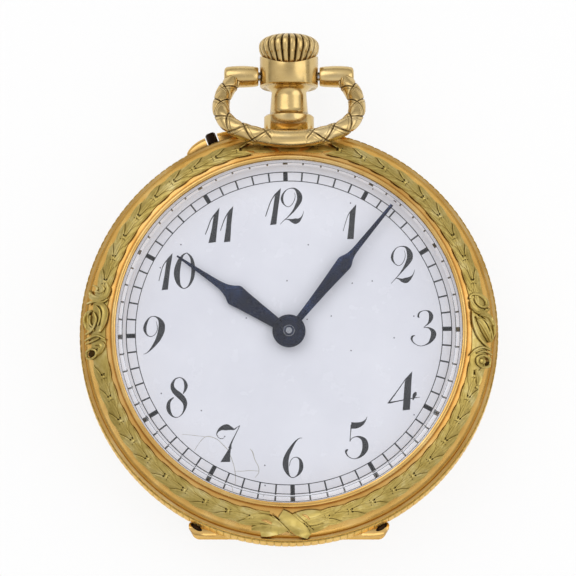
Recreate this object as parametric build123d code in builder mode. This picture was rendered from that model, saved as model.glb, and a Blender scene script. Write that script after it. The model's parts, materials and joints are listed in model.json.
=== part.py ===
from build123d import *
import os
from math import acos, atan2, cos, degrees, hypot, radians, sin, sqrt, tan

os.makedirs("parts", exist_ok=True)

# The watch lies on its back. Z is the axis of the case and of the hands, with the dial towards +Z.
# 12 o'clock is +Y, and Z = 0 is the small flat on the back that the watch rests on. Sizes are in millimetres.

# Case
case_r = 16.0
band_back_z = 2.6
band_front_z = 5.6
band_edge = 0.15
back_bore_wall = 2.4
ledge_wall = 2.95
front_bore_wall = 2.55
back_bore_r = case_r - back_bore_wall
ledge_r = case_r - ledge_wall
front_bore_r = case_r - front_bore_wall
ledge_back_z = 4.0
ledge_front_z = 4.7
clearance = 0.05
running_gap = 0.03
overrun = 1.0

# Movement: the plate, the bridges and the stem
stem_z = 3.6
plate_back_z = ledge_back_z
plate_front_z = 4.95
bridge_back_z = 1.8
bridge_front_z = 2.65
movement_gap = 0.2
movement_r = ledge_r - movement_gap

# Dial and hands
dial_front_z = 6.3
dial_thickness = 0.65
dial_lap = 0.05
dial_r = ledge_r + dial_lap
minute_hand_length = 12.47
hour_hand_length = 10.32
# The hands' angles are clockwise from 12 o'clock.
minute_hand_degrees = 38.9
hour_hand_degrees = 304.3
hand_thickness = 0.12
minute_hand_z = 7.02
hour_hand_z = 6.66
hub_r = 1.26

# Bezel and crystal
bezel_step = 0.4
bezel_width = 2.4
bezel_r = case_r - bezel_step
bezel_inner_r = bezel_r - bezel_width
bezel_lip_z = 7.85
crystal_top_z = 8.55
crystal_thickness = 0.85

# Covers
cover_step = 0.1
cover_r = case_r - cover_step
cover_wall = 0.4
cover_flat_r = 6.0
cover_top_z = band_back_z - clearance
cuvette_step = 0.8
cuvette_r = cover_r - cuvette_step
cuvette_wall = 0.25
cuvette_floor_z = 0.62

# Joint of the covers, at 6 o'clock
joint_inset = 1.25
joint_y = joint_inset - case_r
joint_z = 2.0
joint_r = 0.58
joint_half_length = 7.5
joint_pin_r = 0.3

# Pendant, crown and bow
pendant_foot_r = 1.925
pendant_foot_height = 1.3
neck_low_r = 1.485
neck_high_r = 1.335
neck_height = 1.86
collar_r = 2.25
collar_cone_height = 0.69
collar_height = 2.09
collar_dip = 0.84
crown_r = 2.325
crown_height = 2.85
crown_ribs = 24
stem_r = 0.55
bow_length = 7.05
bow_half_width = 5.22
bow_wire_r = 0.66
bow_rest_degrees = 37.0
bow_boss_r = 0.82
bow_boss_length = 2.65
bow_pivot_r = 0.35

# Setting pin
pin_degrees = 111.2
pin_z = 4.75
pin_r = 0.4
pin_proud = 0.85
pin_travel = 0.6

# Wheels: teeth, and modules in millimetres
barrel_teeth = 60
centre_pinion_leaves = 10
barrel_module = 0.18
centre_teeth = 64
third_pinion_leaves = 8
centre_module = 0.12
third_teeth = 60
fourth_pinion_leaves = 8
third_module = 0.105
fourth_teeth = 64
escape_pinion_leaves = 8
fourth_module = 0.1
escape_teeth = 15
escape_r = 2.3
winding_pinion_teeth = 16
crown_wheel_teeth = 24
ratchet_teeth = 38
winding_module = 0.175
cannon_leaves = 12
minute_wheel_teeth = 36
minute_pinion_leaves = 10
hour_wheel_teeth = 40
cannon_module = 0.125

# Where the wheels turn
barrel_distance = barrel_module * (barrel_teeth + centre_pinion_leaves) / 2
third_distance = centre_module * (centre_teeth + third_pinion_leaves) / 2
fourth_distance = third_module * (third_teeth + fourth_pinion_leaves) / 2
escape_distance = fourth_module * (fourth_teeth + escape_pinion_leaves) / 2
winding_distance = winding_module * (crown_wheel_teeth + ratchet_teeth) / 2
motion_distance = cannon_module * (cannon_leaves + minute_wheel_teeth) / 2
hour_module = 2 * motion_distance / (minute_pinion_leaves + hour_wheel_teeth)
crown_wheel_y = 9.0
third_degrees = 22.0
fourth_radius = 5.0
escape_radius = 7.0
balance_radius = 6.4
balance_r = 3.85
balance_distance = 6.05
pallet_length = 3.5
minute_wheel_degrees = 215.0

pivot_r = 0.1
jewel_r = 0.5
jewel_height = 0.3
jewel_gap = 0.02


def polar(radius, angle):
    """A point at a radius and an angle in degrees."""
    return (radius * cos(radians(angle)), radius * sin(radians(angle)))


def meeting(a, a_r, b, b_r, side):
    """Where circles about a and b cross: side is 1 for the crossing left of the way from a to b, or -1."""
    span = hypot(b[0] - a[0], b[1] - a[1])
    along = (a_r**2 - b_r**2 + span**2) / (2 * span)
    off = side * sqrt(a_r**2 - along**2)
    way = ((b[0] - a[0]) / span, (b[1] - a[1]) / span)
    return (a[0] + along * way[0] - off * way[1], a[1] + along * way[1] + off * way[0])


def bearing(a, b):
    """The angle in degrees from a to b."""
    return degrees(atan2(b[1] - a[1], b[0] - a[0]))


def meshed(driver_teeth, driver_phase, teeth, angle):
    """The angle of a wheel's first tooth, where it meshes with a driver.

    The driver lies the other way along angle.
    """
    driver_pitch = 360 / driver_teeth
    pitch = 360 / teeth
    share = ((angle - driver_phase) / driver_pitch) % 1
    return angle + 180 - (0.5 - share) * pitch


def seat(at, z):
    """A level plane over a place in XY."""
    return Plane(origin=(at[0], at[1], z))


def upright(at):
    """A plane through a vertical axis: its x is the radius and its y is the height."""
    return Plane(origin=(at[0], at[1], 0), x_dir=(1, 0, 0), z_dir=(0, -1, 0))


def outline(plane, points):
    """A closed face through the points."""
    with BuildSketch(plane) as face:
        with BuildLine():
            Polyline(*points, close=True)
        make_face()
    return face.sketch


def turned(points, at=(0, 0)):
    """Adds a body turned about a vertical axis to the part that is being built."""
    revolve(outline(upright(at), points), axis=Axis((at[0], at[1], 0), (0, 0, 1)))


def bar(radius, at, low, high, mode=Mode.ADD):
    """Adds or cuts an upright cylinder."""
    with BuildSketch(seat(at, low)) as disc:
        Circle(radius)
    extrude(disc.sketch, amount=high - low, mode=mode)


def stretched(circles, low, high, mode=Mode.ADD):
    """Adds or cuts a slab whose outline is a band stretched round circles, each (place, radius)."""
    with BuildSketch(seat((0, 0), low)) as slab:
        for place, radius in circles:
            with Locations(place):
                Circle(radius)
        make_hull()
    extrude(slab.sketch, amount=high - low, mode=mode)


tip_share = 0.85
root_share = 1.15
tooth_shares = (0.25, 0.11)


def toothed(teeth, module, phase):
    """The outline of a wheel's teeth, with the first tooth at the angle phase."""
    pitch = 360 / teeth
    pitch_r = module * teeth / 2
    tip_r = pitch_r + tip_share * module
    root_r = pitch_r - root_share * module
    points = []
    for count in range(teeth):
        middle = phase + count * pitch
        points.append(polar(root_r, middle - tooth_shares[0] * pitch))
        points.append(polar(tip_r, middle - tooth_shares[1] * pitch))
        points.append(polar(tip_r, middle + tooth_shares[1] * pitch))
        points.append(polar(root_r, middle + tooth_shares[0] * pitch))
    return points


def keep(part, label):
    """Names a finished piece and writes it."""
    part.label = label
    export_step(part, f"parts/{label}.step")


spoke_share = 0.16
rim_share = 0.84
hub_share = 0.24


def crossed_wheel(label, at, low, thickness, teeth, module, phase, bore_r, spokes):
    """A train wheel: toothed rim, spokes and a bored hub."""
    root_r = module * (teeth / 2 - root_share)
    rim_r = rim_share * root_r
    eye_r = hub_share * root_r
    with BuildSketch(seat(at, low)) as windows:
        Circle(rim_r)
        Circle(eye_r, mode=Mode.SUBTRACT)
        with PolarLocations(rim_r / 2, spokes):
            Rectangle(rim_r, spoke_share * root_r, mode=Mode.SUBTRACT)
    with BuildPart() as wheel:
        extrude(outline(seat(at, low), toothed(teeth, module, phase)), amount=thickness)
        extrude(windows.sketch, amount=thickness, mode=Mode.SUBTRACT)
        bar(bore_r, at, low, low + thickness, mode=Mode.SUBTRACT)
    keep(wheel.part, label)


# The places of the arbors
centre = (0, 0)
crown_wheel_at = (0, crown_wheel_y)
barrel_at = meeting(centre, barrel_distance, crown_wheel_at, winding_distance, 1)
third_at = polar(third_distance, third_degrees)
fourth_at = meeting(centre, fourth_radius, third_at, fourth_distance, -1)
escape_at = meeting(centre, escape_radius, fourth_at, escape_distance, -1)
balance_at = meeting(centre, balance_radius, escape_at, balance_distance, -1)
pallet_span_degrees = 30.0
pallet_distance = escape_r / cos(radians(pallet_span_degrees))
pallet_at = meeting(escape_at, pallet_distance, balance_at, pallet_length, 1)
minute_wheel_at = polar(motion_distance, minute_wheel_degrees)

# Mid case: the milled band, with the ledge that carries the movement and the outer knuckles of the joint.
pendant_bore_share = 0.85
pendant_bore_r = pendant_bore_share * (stem_z - band_back_z)
pin_bore_r = pin_r + running_gap
lug_height = 0.3
outer_knuckle_length = 2.9
joint_face_degrees = 30.0
pin_way = polar(1, pin_degrees)
pin_plane = Plane(origin=(0, 0, pin_z), x_dir=(0, 0, 1), z_dir=(pin_way[0], pin_way[1], 0))
stem_plane = Plane(origin=(0, 0, stem_z), x_dir=(1, 0, 0), z_dir=(0, 1, 0))
joint_plane = Plane(origin=(0, joint_y, joint_z), x_dir=(0, 1, 0), z_dir=(1, 0, 0))
joint_lean = joint_r * tan(radians(joint_face_degrees))

knuckle_start = joint_half_length - outer_knuckle_length


def outer_knuckle(side):
    """The case's own knuckle at one end of the joint, cut aslant at its outer face."""
    shadow = outline(
        Plane(origin=(0, 0, joint_z)),
        [
            (side * knuckle_start, joint_y - joint_r),
            (side * (joint_half_length - joint_lean), joint_y - joint_r),
            (side * (joint_half_length + joint_lean), joint_y + joint_r),
            (side * knuckle_start, joint_y + joint_r),
        ],
    )
    with BuildPart() as knuckle:
        with BuildSketch(joint_plane.offset(side * knuckle_start)):
            Circle(joint_r)
        extrude(amount=side * (outer_knuckle_length + joint_r))
        extrude(shadow, amount=joint_r, both=True, mode=Mode.INTERSECT)
        extrude(shadow, amount=band_back_z + lug_height - joint_z)
    return knuckle.part


with BuildPart() as mid_case:
    turned(
        [
            (back_bore_r, band_back_z),
            (case_r - band_edge, band_back_z),
            (case_r, band_back_z + band_edge),
            (case_r, band_front_z - band_edge),
            (case_r - band_edge, band_front_z),
            (front_bore_r, band_front_z),
            (front_bore_r, ledge_front_z),
            (ledge_r, ledge_front_z),
            (ledge_r, ledge_back_z),
            (back_bore_r, ledge_back_z),
        ]
    )
    add(outer_knuckle(-1))
    add(outer_knuckle(1))
    with BuildSketch(joint_plane):
        Circle(joint_pin_r)
    extrude(amount=joint_half_length + overrun, both=True, mode=Mode.SUBTRACT)
    with BuildSketch(stem_plane.offset(ledge_r - overrun)):
        Circle(pendant_bore_r)
    extrude(amount=case_r, mode=Mode.SUBTRACT)
    with BuildSketch(pin_plane.offset(ledge_r - overrun)):
        Circle(pin_bore_r)
    extrude(amount=case_r, mode=Mode.SUBTRACT)
keep(mid_case.part, "mid_case")

# Bezel: a rim with a rounded field for the ornament, a bright lip and the groove of the crystal.
bezel_edge_z = 6.2
bezel_edge_width = 0.2
lip_width = 0.37
lip_drop = 0.3
groove_depth = 0.25
groove_r = bezel_inner_r + groove_depth
groove_z = 7.25
groove_height = 0.3
field_rise = 0.14
foot_gap = 0.05
bezel_foot_r = front_bore_r + foot_gap
field_outer = (bezel_r - bezel_edge_width, bezel_edge_z)
field_inner = (bezel_inner_r + lip_width, bezel_lip_z - lip_drop)
field_middle = (
    (field_outer[0] + field_inner[0]) / 2 + field_rise,
    (field_outer[1] + field_inner[1]) / 2 + field_rise,
)
with BuildPart() as bezel:
    with BuildSketch(upright(centre)):
        with BuildLine():
            Polyline(
                field_outer,
                (bezel_r, bezel_edge_z - bezel_edge_width),
                (bezel_r, band_front_z),
                (bezel_foot_r, band_front_z),
                (bezel_inner_r, dial_front_z + clearance),
                (bezel_inner_r, groove_z),
                (groove_r, groove_z),
                (groove_r, groove_z + groove_height),
                (bezel_inner_r, groove_z + groove_height),
                (bezel_inner_r, bezel_lip_z),
                (field_inner[0], bezel_lip_z),
                field_inner,
            )
            ThreePointArc(field_inner, field_middle, field_outer)
        make_face()
    revolve(axis=Axis.Z)
keep(bezel.part, "bezel")

# Crystal: flat, with a wide bevel, snapped into the groove by its edge.
bevel_width = 0.42
crystal_crown = 0.1
crystal_edge_gap = 0.03
with BuildPart() as crystal:
    turned(
        [
            (0, crystal_top_z),
            (bezel_inner_r - bevel_width, crystal_top_z - crystal_crown),
            (bezel_inner_r - crystal_edge_gap, groove_z + groove_height - crystal_edge_gap),
            (groove_r - crystal_edge_gap, groove_z + groove_height - crystal_edge_gap),
            (groove_r - crystal_edge_gap, groove_z + crystal_edge_gap),
            (bezel_inner_r - bevel_width / 2, groove_z + crystal_edge_gap),
            (0, crystal_top_z - crystal_thickness),
        ]
    )
keep(crystal.part, "crystal")

# Garland: chased laurel laid in the bezel's field. It grows from the tie at 6 o'clock up both sides, is
# stopped by a scroll at 3 and 9 o'clock, and is open at 12, under the bow.
# The tips of its leaves make its edges.
garland_seat = 0.02
garland_thickness = 0.16
leaf_rise = 0.1
garland_width = 1.2
leaf_degrees = 7.4
low_leaves = 9
low_start_degrees = -81.0
high_leaves = 8
high_start_degrees = 13.0
last_tip_degrees = 2.0
leaf_foot_share = 0.66
leaf_tip_share = 0.8
middle_leaf_share = 0.28
middle_leaf_degrees = 3.4
# The edges of the tie and of a scroll: an angle in degrees, and a share of the half width.
tie_shares = ((-90.0, 1.1), (-86.0, 1.15), (-83.0, 0.8))
scroll_shares = ((-11.0, 0.6), (-8.0, 1.1), (-3.5, 0.8), (0.0, 1.1), (4.0, 1.15), (8.5, 0.9), (10.5, 0.6))
last_tip_share = 0.1
garland_r = (field_outer[0] + field_inner[0]) / 2


def circle_centre(a, b, c):
    """The centre of the circle through three points."""
    a_square = a[0] ** 2 + a[1] ** 2
    b_square = b[0] ** 2 + b[1] ** 2
    c_square = c[0] ** 2 + c[1] ** 2
    double_area = 2 * (a[0] * (b[1] - c[1]) + b[0] * (c[1] - a[1]) + c[0] * (a[1] - b[1]))
    across = a_square * (b[1] - c[1]) + b_square * (c[1] - a[1]) + c_square * (a[1] - b[1])
    up = a_square * (c[0] - b[0]) + b_square * (a[0] - c[0]) + c_square * (b[0] - a[0])
    return (across / double_area, up / double_area)


field_centre = circle_centre(field_inner, field_middle, field_outer)
field_r = hypot(field_outer[0] - field_centre[0], field_outer[1] - field_centre[1])


def above_field(point, lift):
    """A point of the field's profile, lifted square to the field."""
    share = 1 + lift / field_r
    return (
        field_centre[0] + share * (point[0] - field_centre[0]),
        field_centre[1] + share * (point[1] - field_centre[1]),
    )


def field_layer(low, high):
    """Adds a ring that follows the field between two lifts."""
    with BuildSketch(upright(centre)) as layer:
        with BuildLine():
            ThreePointArc(
                above_field(field_inner, low),
                above_field(field_middle, low),
                above_field(field_outer, low),
            )
            Line(above_field(field_outer, low), above_field(field_outer, high))
            ThreePointArc(
                above_field(field_outer, high),
                above_field(field_middle, high),
                above_field(field_inner, high),
            )
            Line(above_field(field_inner, high), above_field(field_inner, low))
        make_face()
    revolve(layer.sketch, axis=Axis.Z)


def leaf_feet():
    """The angles at which the leaves of the right half start."""
    low = [low_start_degrees + count * leaf_degrees for count in range(low_leaves)]
    high = [high_start_degrees + count * leaf_degrees for count in range(high_leaves)]
    return low, high


def leafy(feet):
    """The edge of a run of leaves, as angles and shares of the half width."""
    edge = []
    for foot in feet:
        edge.append((foot, leaf_foot_share))
        edge.append((foot + leaf_tip_share * leaf_degrees, 1))
    return edge


def garland_edge(side, way):
    """The outer (way 1) or inner (way -1) edge of one half (side 1 is the right), from the tie to the tip."""
    low, high = leaf_feet()
    last = (high[-1] + leaf_degrees + last_tip_degrees, last_tip_share)
    edge = [*tie_shares, *leafy(low), *scroll_shares, *leafy(high), last]
    points = [polar(garland_r + way * share * garland_width / 2, angle) for angle, share in edge]
    return [(side * x, y) for x, y in points]


def middle_leaves():
    """The raised leaves along the middle of the garland."""
    with BuildPart() as leaves:
        field_layer(garland_seat, garland_seat + garland_thickness + leaf_rise)
        with BuildSketch(seat(centre, 0)) as diamonds:
            for foot in sum(leaf_feet(), []):
                middle = foot + leaf_tip_share * leaf_degrees / 2
                for side in (1, -1):
                    corners = [
                        polar(garland_r, middle - middle_leaf_degrees),
                        polar(garland_r + middle_leaf_share * garland_width / 2, middle),
                        polar(garland_r, middle + middle_leaf_degrees),
                        polar(garland_r - middle_leaf_share * garland_width / 2, middle),
                    ]
                    with BuildLine():
                        Polyline(*[(side * x, y) for x, y in corners], close=True)
                    make_face()
        extrude(diamonds.sketch, amount=bezel_lip_z + overrun, mode=Mode.INTERSECT)
    return leaves.part


with BuildPart() as laurel_garland:
    field_layer(garland_seat, garland_seat + garland_thickness)
    round_edge = [
        *garland_edge(1, 1)[::-1],
        *garland_edge(-1, 1)[1:],
        *garland_edge(-1, -1)[::-1],
        *garland_edge(1, -1)[1:],
    ]
    extrude(outline(seat(centre, 0), round_edge), amount=bezel_lip_z + overrun, mode=Mode.INTERSECT)
    add(middle_leaves())
keep(laurel_garland.part, "laurel_garland")

# Back cover and cuvette: pans with a straight cut at the joint, each with its own knuckles.
chord_y = joint_y + joint_r + clearance
cover_shoulder = 1.3
cover_shoulder_r = cover_r - cover_shoulder
cover_shoulder_z = 0.85
cover_bead_z = 2.0
bead_width = 0.15
knuckle_gap = 0.1
cover_knuckle_length = 2.9
cuvette_knuckle_length = 3.0
cover_web_z = 1.0
web_reach = 0.2
cuvette_web_z = 2.2


def knuckle_bore():
    """Cuts the running bore for the pin of the joint."""
    with BuildSketch(joint_plane) as bore:
        Circle(joint_pin_r + running_gap)
    extrude(bore.sketch, amount=joint_half_length, both=True, mode=Mode.SUBTRACT)


def knuckle_on(start, length, low, high):
    """Adds one knuckle and the web that joins it to its cover."""
    with BuildSketch(joint_plane.offset(start)) as ring:
        Circle(joint_r)
    extrude(ring.sketch, amount=length)
    with BuildSketch(Plane(origin=(start, 0, low))) as web:
        with BuildLine():
            Polyline(
                (0, joint_y),
                (length, joint_y),
                (length, chord_y + web_reach),
                (0, chord_y + web_reach),
                close=True,
            )
        make_face()
    extrude(web.sketch, amount=high - low)


def joint_cut():
    """Cuts a cover straight along the joint."""
    with BuildSketch(Plane(origin=(0, chord_y, 0))) as half:
        Rectangle(2 * case_r, case_r, align=(Align.CENTER, Align.MAX))
    extrude(half.sketch, amount=band_back_z, mode=Mode.SUBTRACT)


sagitta_run = cover_shoulder_r - cover_flat_r
dome_r = (sagitta_run**2 + cover_shoulder_z**2) / (2 * cover_shoulder_z)


def dome_z(radius):
    """The height of the back cover's outside at a radius, between its flat and its shoulder."""
    return dome_r - sqrt(dome_r**2 - (radius - cover_flat_r) ** 2)


dome_middle_r = (cover_shoulder_r + cover_flat_r) / 2
dome_middle = (dome_middle_r, dome_z(dome_middle_r))
inner_middle = (dome_middle[0], dome_middle[1] + cover_wall)
inner_shoulder = (cover_shoulder_r - cover_wall / 2, cover_shoulder_z + cover_wall)
with BuildPart() as back_cover:
    with BuildSketch(upright(centre)):
        with BuildLine():
            Line((0, 0), (cover_flat_r, 0))
            ThreePointArc((cover_flat_r, 0), dome_middle, (cover_shoulder_r, cover_shoulder_z))
            Polyline(
                (cover_shoulder_r, cover_shoulder_z),
                (cover_r - bead_width, cover_bead_z),
                (cover_r, cover_bead_z + bead_width),
                (cover_r, cover_top_z),
                (cover_r - cover_wall, cover_top_z),
                (cover_r - cover_wall, cover_bead_z),
                inner_shoulder,
            )
            ThreePointArc(inner_shoulder, inner_middle, (cover_flat_r, cover_wall))
            Polyline((cover_flat_r, cover_wall), (0, cover_wall), (0, 0))
        make_face()
    revolve(axis=Axis.Z)
    joint_cut()
    cover_start = cuvette_knuckle_length / 2 + knuckle_gap
    knuckle_on(cover_start, cover_knuckle_length, cover_web_z, joint_z)
    knuckle_on(-cover_start - cover_knuckle_length, cover_knuckle_length, cover_web_z, joint_z)
    knuckle_bore()
keep(back_cover.part, "back_cover")

cuvette_shoulder = 2.1
cuvette_rim_width = 1.15
cuvette_pan_r = cuvette_r - cuvette_shoulder
cuvette_pan_z = 1.15
cuvette_step_r = cuvette_r - cuvette_rim_width
cuvette_rim_z = 2.25
with BuildPart() as cuvette:
    turned(
        [
            (0, cuvette_floor_z),
            (cover_flat_r, cuvette_floor_z),
            (cuvette_pan_r, cuvette_pan_z),
            (cuvette_step_r, cuvette_rim_z),
            (cuvette_r, cuvette_rim_z),
            (cuvette_r, cuvette_rim_z + cuvette_wall),
            (cuvette_step_r - cuvette_wall, cuvette_rim_z + cuvette_wall),
            (cuvette_pan_r - cuvette_wall / 2, cuvette_pan_z + cuvette_wall),
            (cover_flat_r, cuvette_floor_z + cuvette_wall),
            (0, cuvette_floor_z + cuvette_wall),
        ]
    )
    joint_cut()
    knuckle_on(
        -cuvette_knuckle_length / 2,
        cuvette_knuckle_length,
        cuvette_web_z,
        cuvette_rim_z + cuvette_wall,
    )
    knuckle_bore()
keep(cuvette.part, "cuvette")

pin_end = joint_pin_r * tan(radians(joint_face_degrees))
with BuildPart() as joint_pin:
    extrude(
        outline(
            Plane(origin=(0, joint_y, joint_z)),
            [
                (-joint_half_length + pin_end, -joint_pin_r),
                (joint_half_length - pin_end, -joint_pin_r),
                (joint_half_length + pin_end, joint_pin_r),
                (-joint_half_length - pin_end, joint_pin_r),
            ],
        ),
        amount=joint_pin_r,
        both=True,
    )
    with BuildSketch(joint_plane):
        Circle(joint_pin_r)
    extrude(amount=joint_half_length + overrun, both=True, mode=Mode.INTERSECT)
keep(joint_pin.part, "joint_pin")

# Pendant: foot, neck and cup-shaped collar, turned about the stem and seated on the band.
foot_y = case_r + pendant_foot_height
neck_y = foot_y + neck_height
collar_y = neck_y + collar_cone_height
collar_top_y = collar_y + collar_height
cup_share = 0.43
bow_pivot_share = 0.26
cup_y = collar_y + cup_share * collar_height
cup_r = 2.12
spigot_r = pendant_bore_r - running_gap
stem_bore_r = stem_r + clearance
foot_edge = 0.12
crown_axis = Axis((0, 0, stem_z), (0, 1, 0))
crown_plane = Plane(origin=(0, 0, stem_z), x_dir=(1, 0, 0), z_dir=(0, 0, 1))
dip_r = (collar_r**2 + collar_dip**2) / (2 * collar_dip)
bow_pivot_y = collar_y + bow_pivot_share * collar_height
pivot_plane = Plane(origin=(0, bow_pivot_y, stem_z), x_dir=(0, 1, 0), z_dir=(1, 0, 0))
bow_pivot_depth = 0.9
pivot_start = collar_r - bow_pivot_depth
with BuildPart() as band_space:
    bar(case_r, centre, 0, 2 * stem_z)
    with BuildSketch(stem_plane):
        Circle(spigot_r)
    extrude(amount=case_r + overrun, mode=Mode.SUBTRACT)
with BuildPart() as pendant:
    revolve(
        outline(
            crown_plane,
            [
                (stem_bore_r, ledge_r + clearance),
                (spigot_r, ledge_r + clearance),
                (spigot_r, case_r - overrun),
                (pendant_foot_r, case_r - overrun),
                (pendant_foot_r, foot_y - foot_edge),
                (pendant_foot_r - foot_edge, foot_y),
                (neck_low_r, foot_y),
                (neck_high_r, neck_y),
                (collar_r - foot_edge, collar_y),
                (collar_r, collar_y + foot_edge),
                (collar_r, collar_top_y),
                (cup_r, collar_top_y),
                (cup_r, cup_y),
                (stem_bore_r, cup_y),
            ],
        ),
        axis=crown_axis,
    )
    bar(dip_r, (0, collar_top_y - collar_dip + dip_r), 0, 2 * stem_z, mode=Mode.SUBTRACT)
    add(band_space.part, mode=Mode.SUBTRACT)
    for side in (-1, 1):
        with BuildSketch(pivot_plane.offset(side * pivot_start)):
            Circle(bow_pivot_r)
        extrude(amount=side * collar_r, mode=Mode.SUBTRACT)
keep(pendant.part, "pendant")

# Crown: onion-shaped, with ribs between straight flutes.
crown_wide_share = 0.58
crown_shoulder_share = 0.83
crown_dome_share = 0.95
crown_bore_share = 0.33
crown_bottom_y = cup_y + clearance + running_gap
crown_skirt_r = 1.6
crown_rim_y = collar_top_y
crown_rim_r = cup_r - clearance
crown_wide_y = crown_bottom_y + crown_wide_share * crown_height
crown_shoulder_r = 1.85
crown_shoulder_y = crown_bottom_y + crown_shoulder_share * crown_height
crown_dome_r = 1.1
crown_dome_y = crown_bottom_y + crown_dome_share * crown_height
crown_flat_r = 0.3
flute_depth = 0.22
flute_width = 0.34
crown_top_y = crown_bottom_y + crown_height
with BuildPart() as crown:
    with BuildSketch(crown_plane):
        with BuildLine():
            Polyline((0, crown_top_y), (0, crown_bottom_y), (crown_skirt_r, crown_bottom_y))
            Line((crown_skirt_r, crown_bottom_y), (crown_rim_r, crown_rim_y))
            ThreePointArc(
                (crown_rim_r, crown_rim_y),
                (crown_r, crown_wide_y),
                (crown_shoulder_r, crown_shoulder_y),
            )
            ThreePointArc(
                (crown_shoulder_r, crown_shoulder_y),
                (crown_dome_r, crown_dome_y),
                (crown_flat_r, crown_top_y),
            )
            Line((crown_flat_r, crown_top_y), (0, crown_top_y))
        make_face()
    revolve(axis=crown_axis)
    with BuildSketch(stem_plane.offset(crown_bottom_y)):
        with PolarLocations(crown_r - flute_depth, crown_ribs):
            Polygon(
                (0, 0),
                (flute_depth + clearance, -flute_width / 2),
                (flute_depth + clearance, flute_width / 2),
                align=None,
            )
    extrude(amount=crown_height, mode=Mode.SUBTRACT)
    with BuildSketch(stem_plane.offset(crown_bottom_y)):
        Circle(stem_r)
    extrude(amount=crown_bore_share * crown_height, mode=Mode.SUBTRACT)
keep(crown.part, "crown")

# Winding stem and winding pinion. The stem's pilot turns in the plate.
pilot_r = 0.28
pilot_y = 9.9
pilot_length = 0.45
pinion_y = 10.92
pinion_length = 0.75
winding_tip_r = 1.4
winding_root_r = 1.12
with BuildPart() as winding_stem:
    with BuildSketch(stem_plane.offset(pilot_y)):
        Circle(pilot_r)
    extrude(amount=pilot_length)
    with BuildSketch(stem_plane.offset(pilot_y + pilot_length)):
        Circle(stem_r)
    extrude(amount=crown_bottom_y + crown_bore_share * crown_height - pilot_y - pilot_length)
keep(winding_stem.part, "winding_stem")

winding_pitch = 360 / winding_pinion_teeth
with BuildPart() as winding_pinion:
    with BuildSketch(stem_plane.offset(pinion_y)):
        with BuildLine():
            corners = []
            for count in range(winding_pinion_teeth):
                middle = -90 + count * winding_pitch
                corners.append(polar(winding_root_r, middle - tooth_shares[0] * winding_pitch))
                corners.append(polar(winding_tip_r, middle - tooth_shares[1] * winding_pitch))
                corners.append(polar(winding_tip_r, middle + tooth_shares[1] * winding_pitch))
                corners.append(polar(winding_root_r, middle + tooth_shares[0] * winding_pitch))
            Polyline(*corners, close=True)
        make_face()
        Circle(stem_r, mode=Mode.SUBTRACT)
    extrude(amount=pinion_length)
keep(winding_pinion.part, "winding_pinion")

# Bow: a wire bent from tangent arcs. A barrel-shaped boss at each end turns on a pivot in the collar.
bow_way = (0, -cos(radians(bow_rest_degrees)), sin(radians(bow_rest_degrees)))
bow_plane = Plane(
    origin=(0, bow_pivot_y, stem_z),
    x_dir=(1, 0, 0),
    z_dir=(0, bow_way[2], -bow_way[1]),
)
bow_wide_depth = 3.5
bow_side_r = 3.0
bow_start_x = 4.3
bow_start_depth = 0.6
boss_gap = 0.1
boss_end_r = 0.7
upper_run = bow_wide_depth - bow_start_depth
upper_inset = bow_half_width - bow_start_x
upper_r = (upper_run**2 + upper_inset**2) / (2 * upper_inset)
side_x = bow_half_width - bow_side_r
drop = bow_length - bow_wide_depth
lower_r = (bow_side_r**2 - side_x**2 - drop**2) / (2 * (bow_side_r - drop))
lower_y = lower_r - bow_length
side_turn = degrees(atan2(lower_y + bow_wide_depth, side_x))
upper_turn = degrees(atan2(upper_run, upper_r - upper_inset))
boss_x = collar_r + boss_gap
boss_middle_x = boss_x + bow_boss_length / 2
pivot_reach_share = 0.8
pivot_reach = boss_x + pivot_reach_share * bow_boss_length
print(f"bow: upper, side and lower arcs of radius {upper_r:.2f}, {bow_side_r:.2f} and {lower_r:.2f}")
with BuildPart() as bow:
    with BuildLine(bow_plane) as wire:
        upper_x = bow_half_width - upper_r
        CenterArc((upper_x, -bow_wide_depth), upper_r, upper_turn, -upper_turn)
        CenterArc((side_x, -bow_wide_depth), bow_side_r, 0, -side_turn)
        CenterArc((0, lower_y), lower_r, -side_turn, -(180 - 2 * side_turn))
        CenterArc((-side_x, -bow_wide_depth), bow_side_r, 180 + side_turn, -side_turn)
        CenterArc((-upper_x, -bow_wide_depth), upper_r, 180, -upper_turn)
    wire_path = wire.wires()[0]
    with BuildSketch(Plane(origin=wire_path @ 0, z_dir=wire_path % 0)):
        Circle(bow_wire_r)
    sweep(path=wire_path)
    for side in (-1, 1):
        boss_points = [
            (side * boss_x, 0),
            (side * boss_x, boss_end_r),
            (side * boss_middle_x, bow_boss_r),
            (side * (boss_x + bow_boss_length), boss_end_r),
            (side * (boss_x + bow_boss_length), 0),
        ]
        with BuildSketch(bow_plane):
            with BuildLine():
                Polyline(boss_points[3], boss_points[4], boss_points[0], boss_points[1])
                ThreePointArc(boss_points[1], boss_points[2], boss_points[3])
            make_face()
        revolve(axis=Axis((0, bow_pivot_y, stem_z), (1, 0, 0)))
    with BuildSketch(pivot_plane):
        Circle(bow_pivot_r + running_gap)
    extrude(amount=pivot_reach + clearance, both=True, mode=Mode.SUBTRACT)
keep(bow.part, "bow")

with BuildPart() as bow_pivots:
    for side in (-1, 1):
        with BuildSketch(pivot_plane.offset(side * pivot_start)):
            Circle(bow_pivot_r)
        extrude(amount=side * (pivot_reach - pivot_start))
keep(bow_pivots.part, "bow_pivots")

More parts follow.
